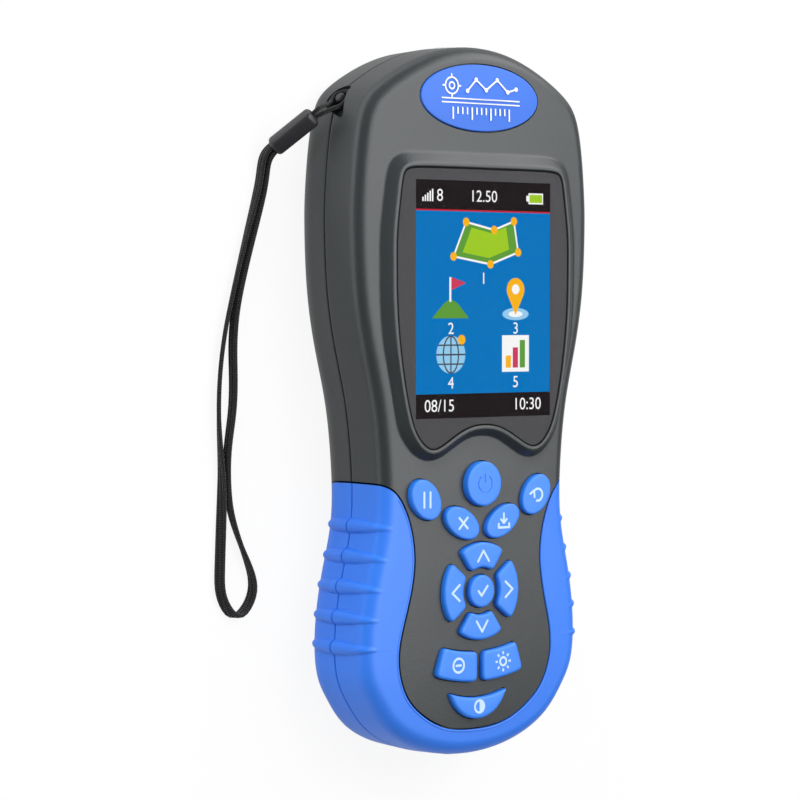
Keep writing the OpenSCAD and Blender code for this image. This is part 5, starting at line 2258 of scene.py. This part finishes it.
@dataclass
class Studio:
    """Camera, floor and soft light."""

    camera_at: tuple[float, float, float] = (-0.473771, 0.023504, 0.580945)
    back: tuple[float, float, float] = (-0.62926748, 0.03140692, 0.77655395)
    right: tuple[float, float, float] = (0.77693723, 0.0, 0.62957807)
    lens: float = 133.838
    ambient: float = 0.5
    gleam_way: tuple[float, float, float] = (-0.87, 0.5, 0.0)
    gleam_from: tuple[float, float] = (0.06, 0.24)
    gleam_to: tuple[float, float] = (-0.4, 2.2)
    floor_size: float = 6.0
    floor_drop: float = 0.0002
    floor_glow: float = 0.9
    LAMPS = (
        ("front_softbox", (0.277, 0.108, 0.878), (0.935, 1.27), 10.3, Light.SHINE),
        ("key_light", (0.15, 0.4, 0.85), (0.6, 0.6), 5.3, Light.FILL),
        ("left_light", (-0.75, 0.75, 0.35), (0.4, 0.4), 5.1, Light.FILL),
        ("top_softbox", (0.57, 0.56, 0.36), (0.5, 0.5), 2.8, Light.BOTH),
    )

    def camera(self) -> None:
        """Camera at the photograph's viewing angle."""
        data = bpy.data.cameras.new("camera")
        data.lens = self.lens
        data.sensor_width = 36
        data.clip_start = 0.01
        data.clip_end = 20
        camera = bpy.data.objects.new("camera", data)
        bpy.context.scene.collection.objects.link(camera)
        back, right = Vector(self.back).normalized(), Vector(self.right).normalized()
        up = back.cross(right)
        turn = Matrix((right, up, back)).transposed().to_4x4()
        camera.matrix_world = Matrix.Translation(self.camera_at) @ turn
        bpy.context.scene.camera = camera

    def floor(self) -> None:
        """Pale floor that is white to the camera and keeps a faint shadow. In reflections it glows, dimmer
        near the meter and brighter away towards its left and top end: a painted reflection.
        """
        clear_selection()
        bpy.ops.mesh.primitive_plane_add(size=self.floor_size)
        floor = bpy.context.object
        floor.name = floor.data.name = "floor"
        floor.data.transform(Matrix.Translation((0, 0, -self.floor_drop)))
        recipe = Recipe("floor_white")
        recipe.put(Base_Color=(0.9, 0.9, 0.9), Roughness=0.9, Specular_IOR_Level=0.0)
        tree = recipe.tree
        path = tree.nodes.new("ShaderNodeLightPath").outputs
        mirrored_or_through = math_node(tree, "MAXIMUM", path["Is Glossy Ray"], path["Is Transmission Ray"])
        seen = math_node(tree, "MAXIMUM", path["Is Camera Ray"], mirrored_or_through)
        glow = tree.nodes.new("ShaderNodeEmission")
        # Painted reflection: glossy rays see the floor glow at 0.6 near the meter, rising to 3.2 farther off.
        out = tree.nodes.new("ShaderNodeVectorMath")
        out.operation = "DOT_PRODUCT"
        out.inputs[1].default_value = self.gleam_way
        tree.links.new(recipe.place, out.inputs[0])
        gleam = tree.nodes.new("ShaderNodeMapRange")
        gleam.interpolation_type = "SMOOTHSTEP"
        for side, start, end in zip(("Min", "Max"), self.gleam_from, self.gleam_to):
            gleam.inputs[f"From {side}"].default_value = start
            gleam.inputs[f"To {side}"].default_value = end
        tree.links.new(out.outputs["Value"], gleam.inputs["Value"])
        extra = math_node(tree, "MULTIPLY", path["Is Glossy Ray"], gleam.outputs["Result"])
        tree.links.new(math_node(tree, "ADD", extra, 1), glow.inputs["Strength"])
        mix = tree.nodes.new("ShaderNodeMixShader")
        tree.links.new(math_node(tree, "MULTIPLY", seen, self.floor_glow), mix.inputs[0])
        tree.links.new(recipe.shader.outputs[0], mix.inputs[1])
        tree.links.new(glow.outputs[0], mix.inputs[2])
        tree.links.new(mix.outputs[0], tree.nodes["Material Output"].inputs["Surface"])
        floor.data.materials.append(recipe.material)

    def world(self) -> None:
        """Even light from all round."""
        world = bpy.data.worlds.new("studio")
        world.use_nodes = True
        background = world.node_tree.nodes["Background"]
        background.inputs["Color"].default_value = (1, 1, 1, 1)
        background.inputs["Strength"].default_value = self.ambient
        world.cycles_visibility.glossy = False
        bpy.context.scene.world = world

    def lamp(self, name: str, at: Sequence, size: tuple[float, float], watts: float, sort: Light) -> None:
        """A soft rectangular light that faces the meter.

        Args:
            name: Its name.
            at: Its place in metres.
            size: Its width and height.
            watts: Its power.
            sort: What it shows in.
        """
        data = bpy.data.lights.new(name, "AREA")
        data.shape = "RECTANGLE"
        data.size, data.size_y = size
        data.energy = watts
        lamp = bpy.data.objects.new(name, data)
        bpy.context.scene.collection.objects.link(lamp)
        lamp.location = at
        lamp.rotation_mode = "QUATERNION"
        lamp.rotation_quaternion = (-Vector(at)).to_track_quat("-Z", "Y")
        lamp.visible_diffuse = sort is not Light.SHINE
        lamp.visible_glossy = sort is not Light.FILL

    def build(self) -> None:
        """Sets up the whole studio."""
        self.camera()
        self.floor()
        self.world()
        for lamp in self.LAMPS:
            self.lamp(*lamp)
        bpy.context.scene.view_settings.view_transform = "Standard"


def main() -> None:
    """Builds the meter in order and reports each piece."""
    logging.basicConfig(level=logging.INFO, format="%(name)s: %(message)s")
    Studio().build()
    finishes = Finishes()
    notch = Notch()
    pieces = Strap(finishes, notch).build()
    case = Case(finishes)
    keypad = Keypad(case, finishes)
    badge = Badge(case, finishes)
    pieces += case.build(keypad, badge, notch)
    pieces += Grip(case, finishes).build()
    pieces += badge.build() + keypad.build()
    pieces += Screen(case, finishes).build()
    Inside().build(finishes)
    for piece in pieces:
        LOG.info("%s: %d faces", piece.name, len(piece.data.polygons))


if __name__ == "__main__":
    main()
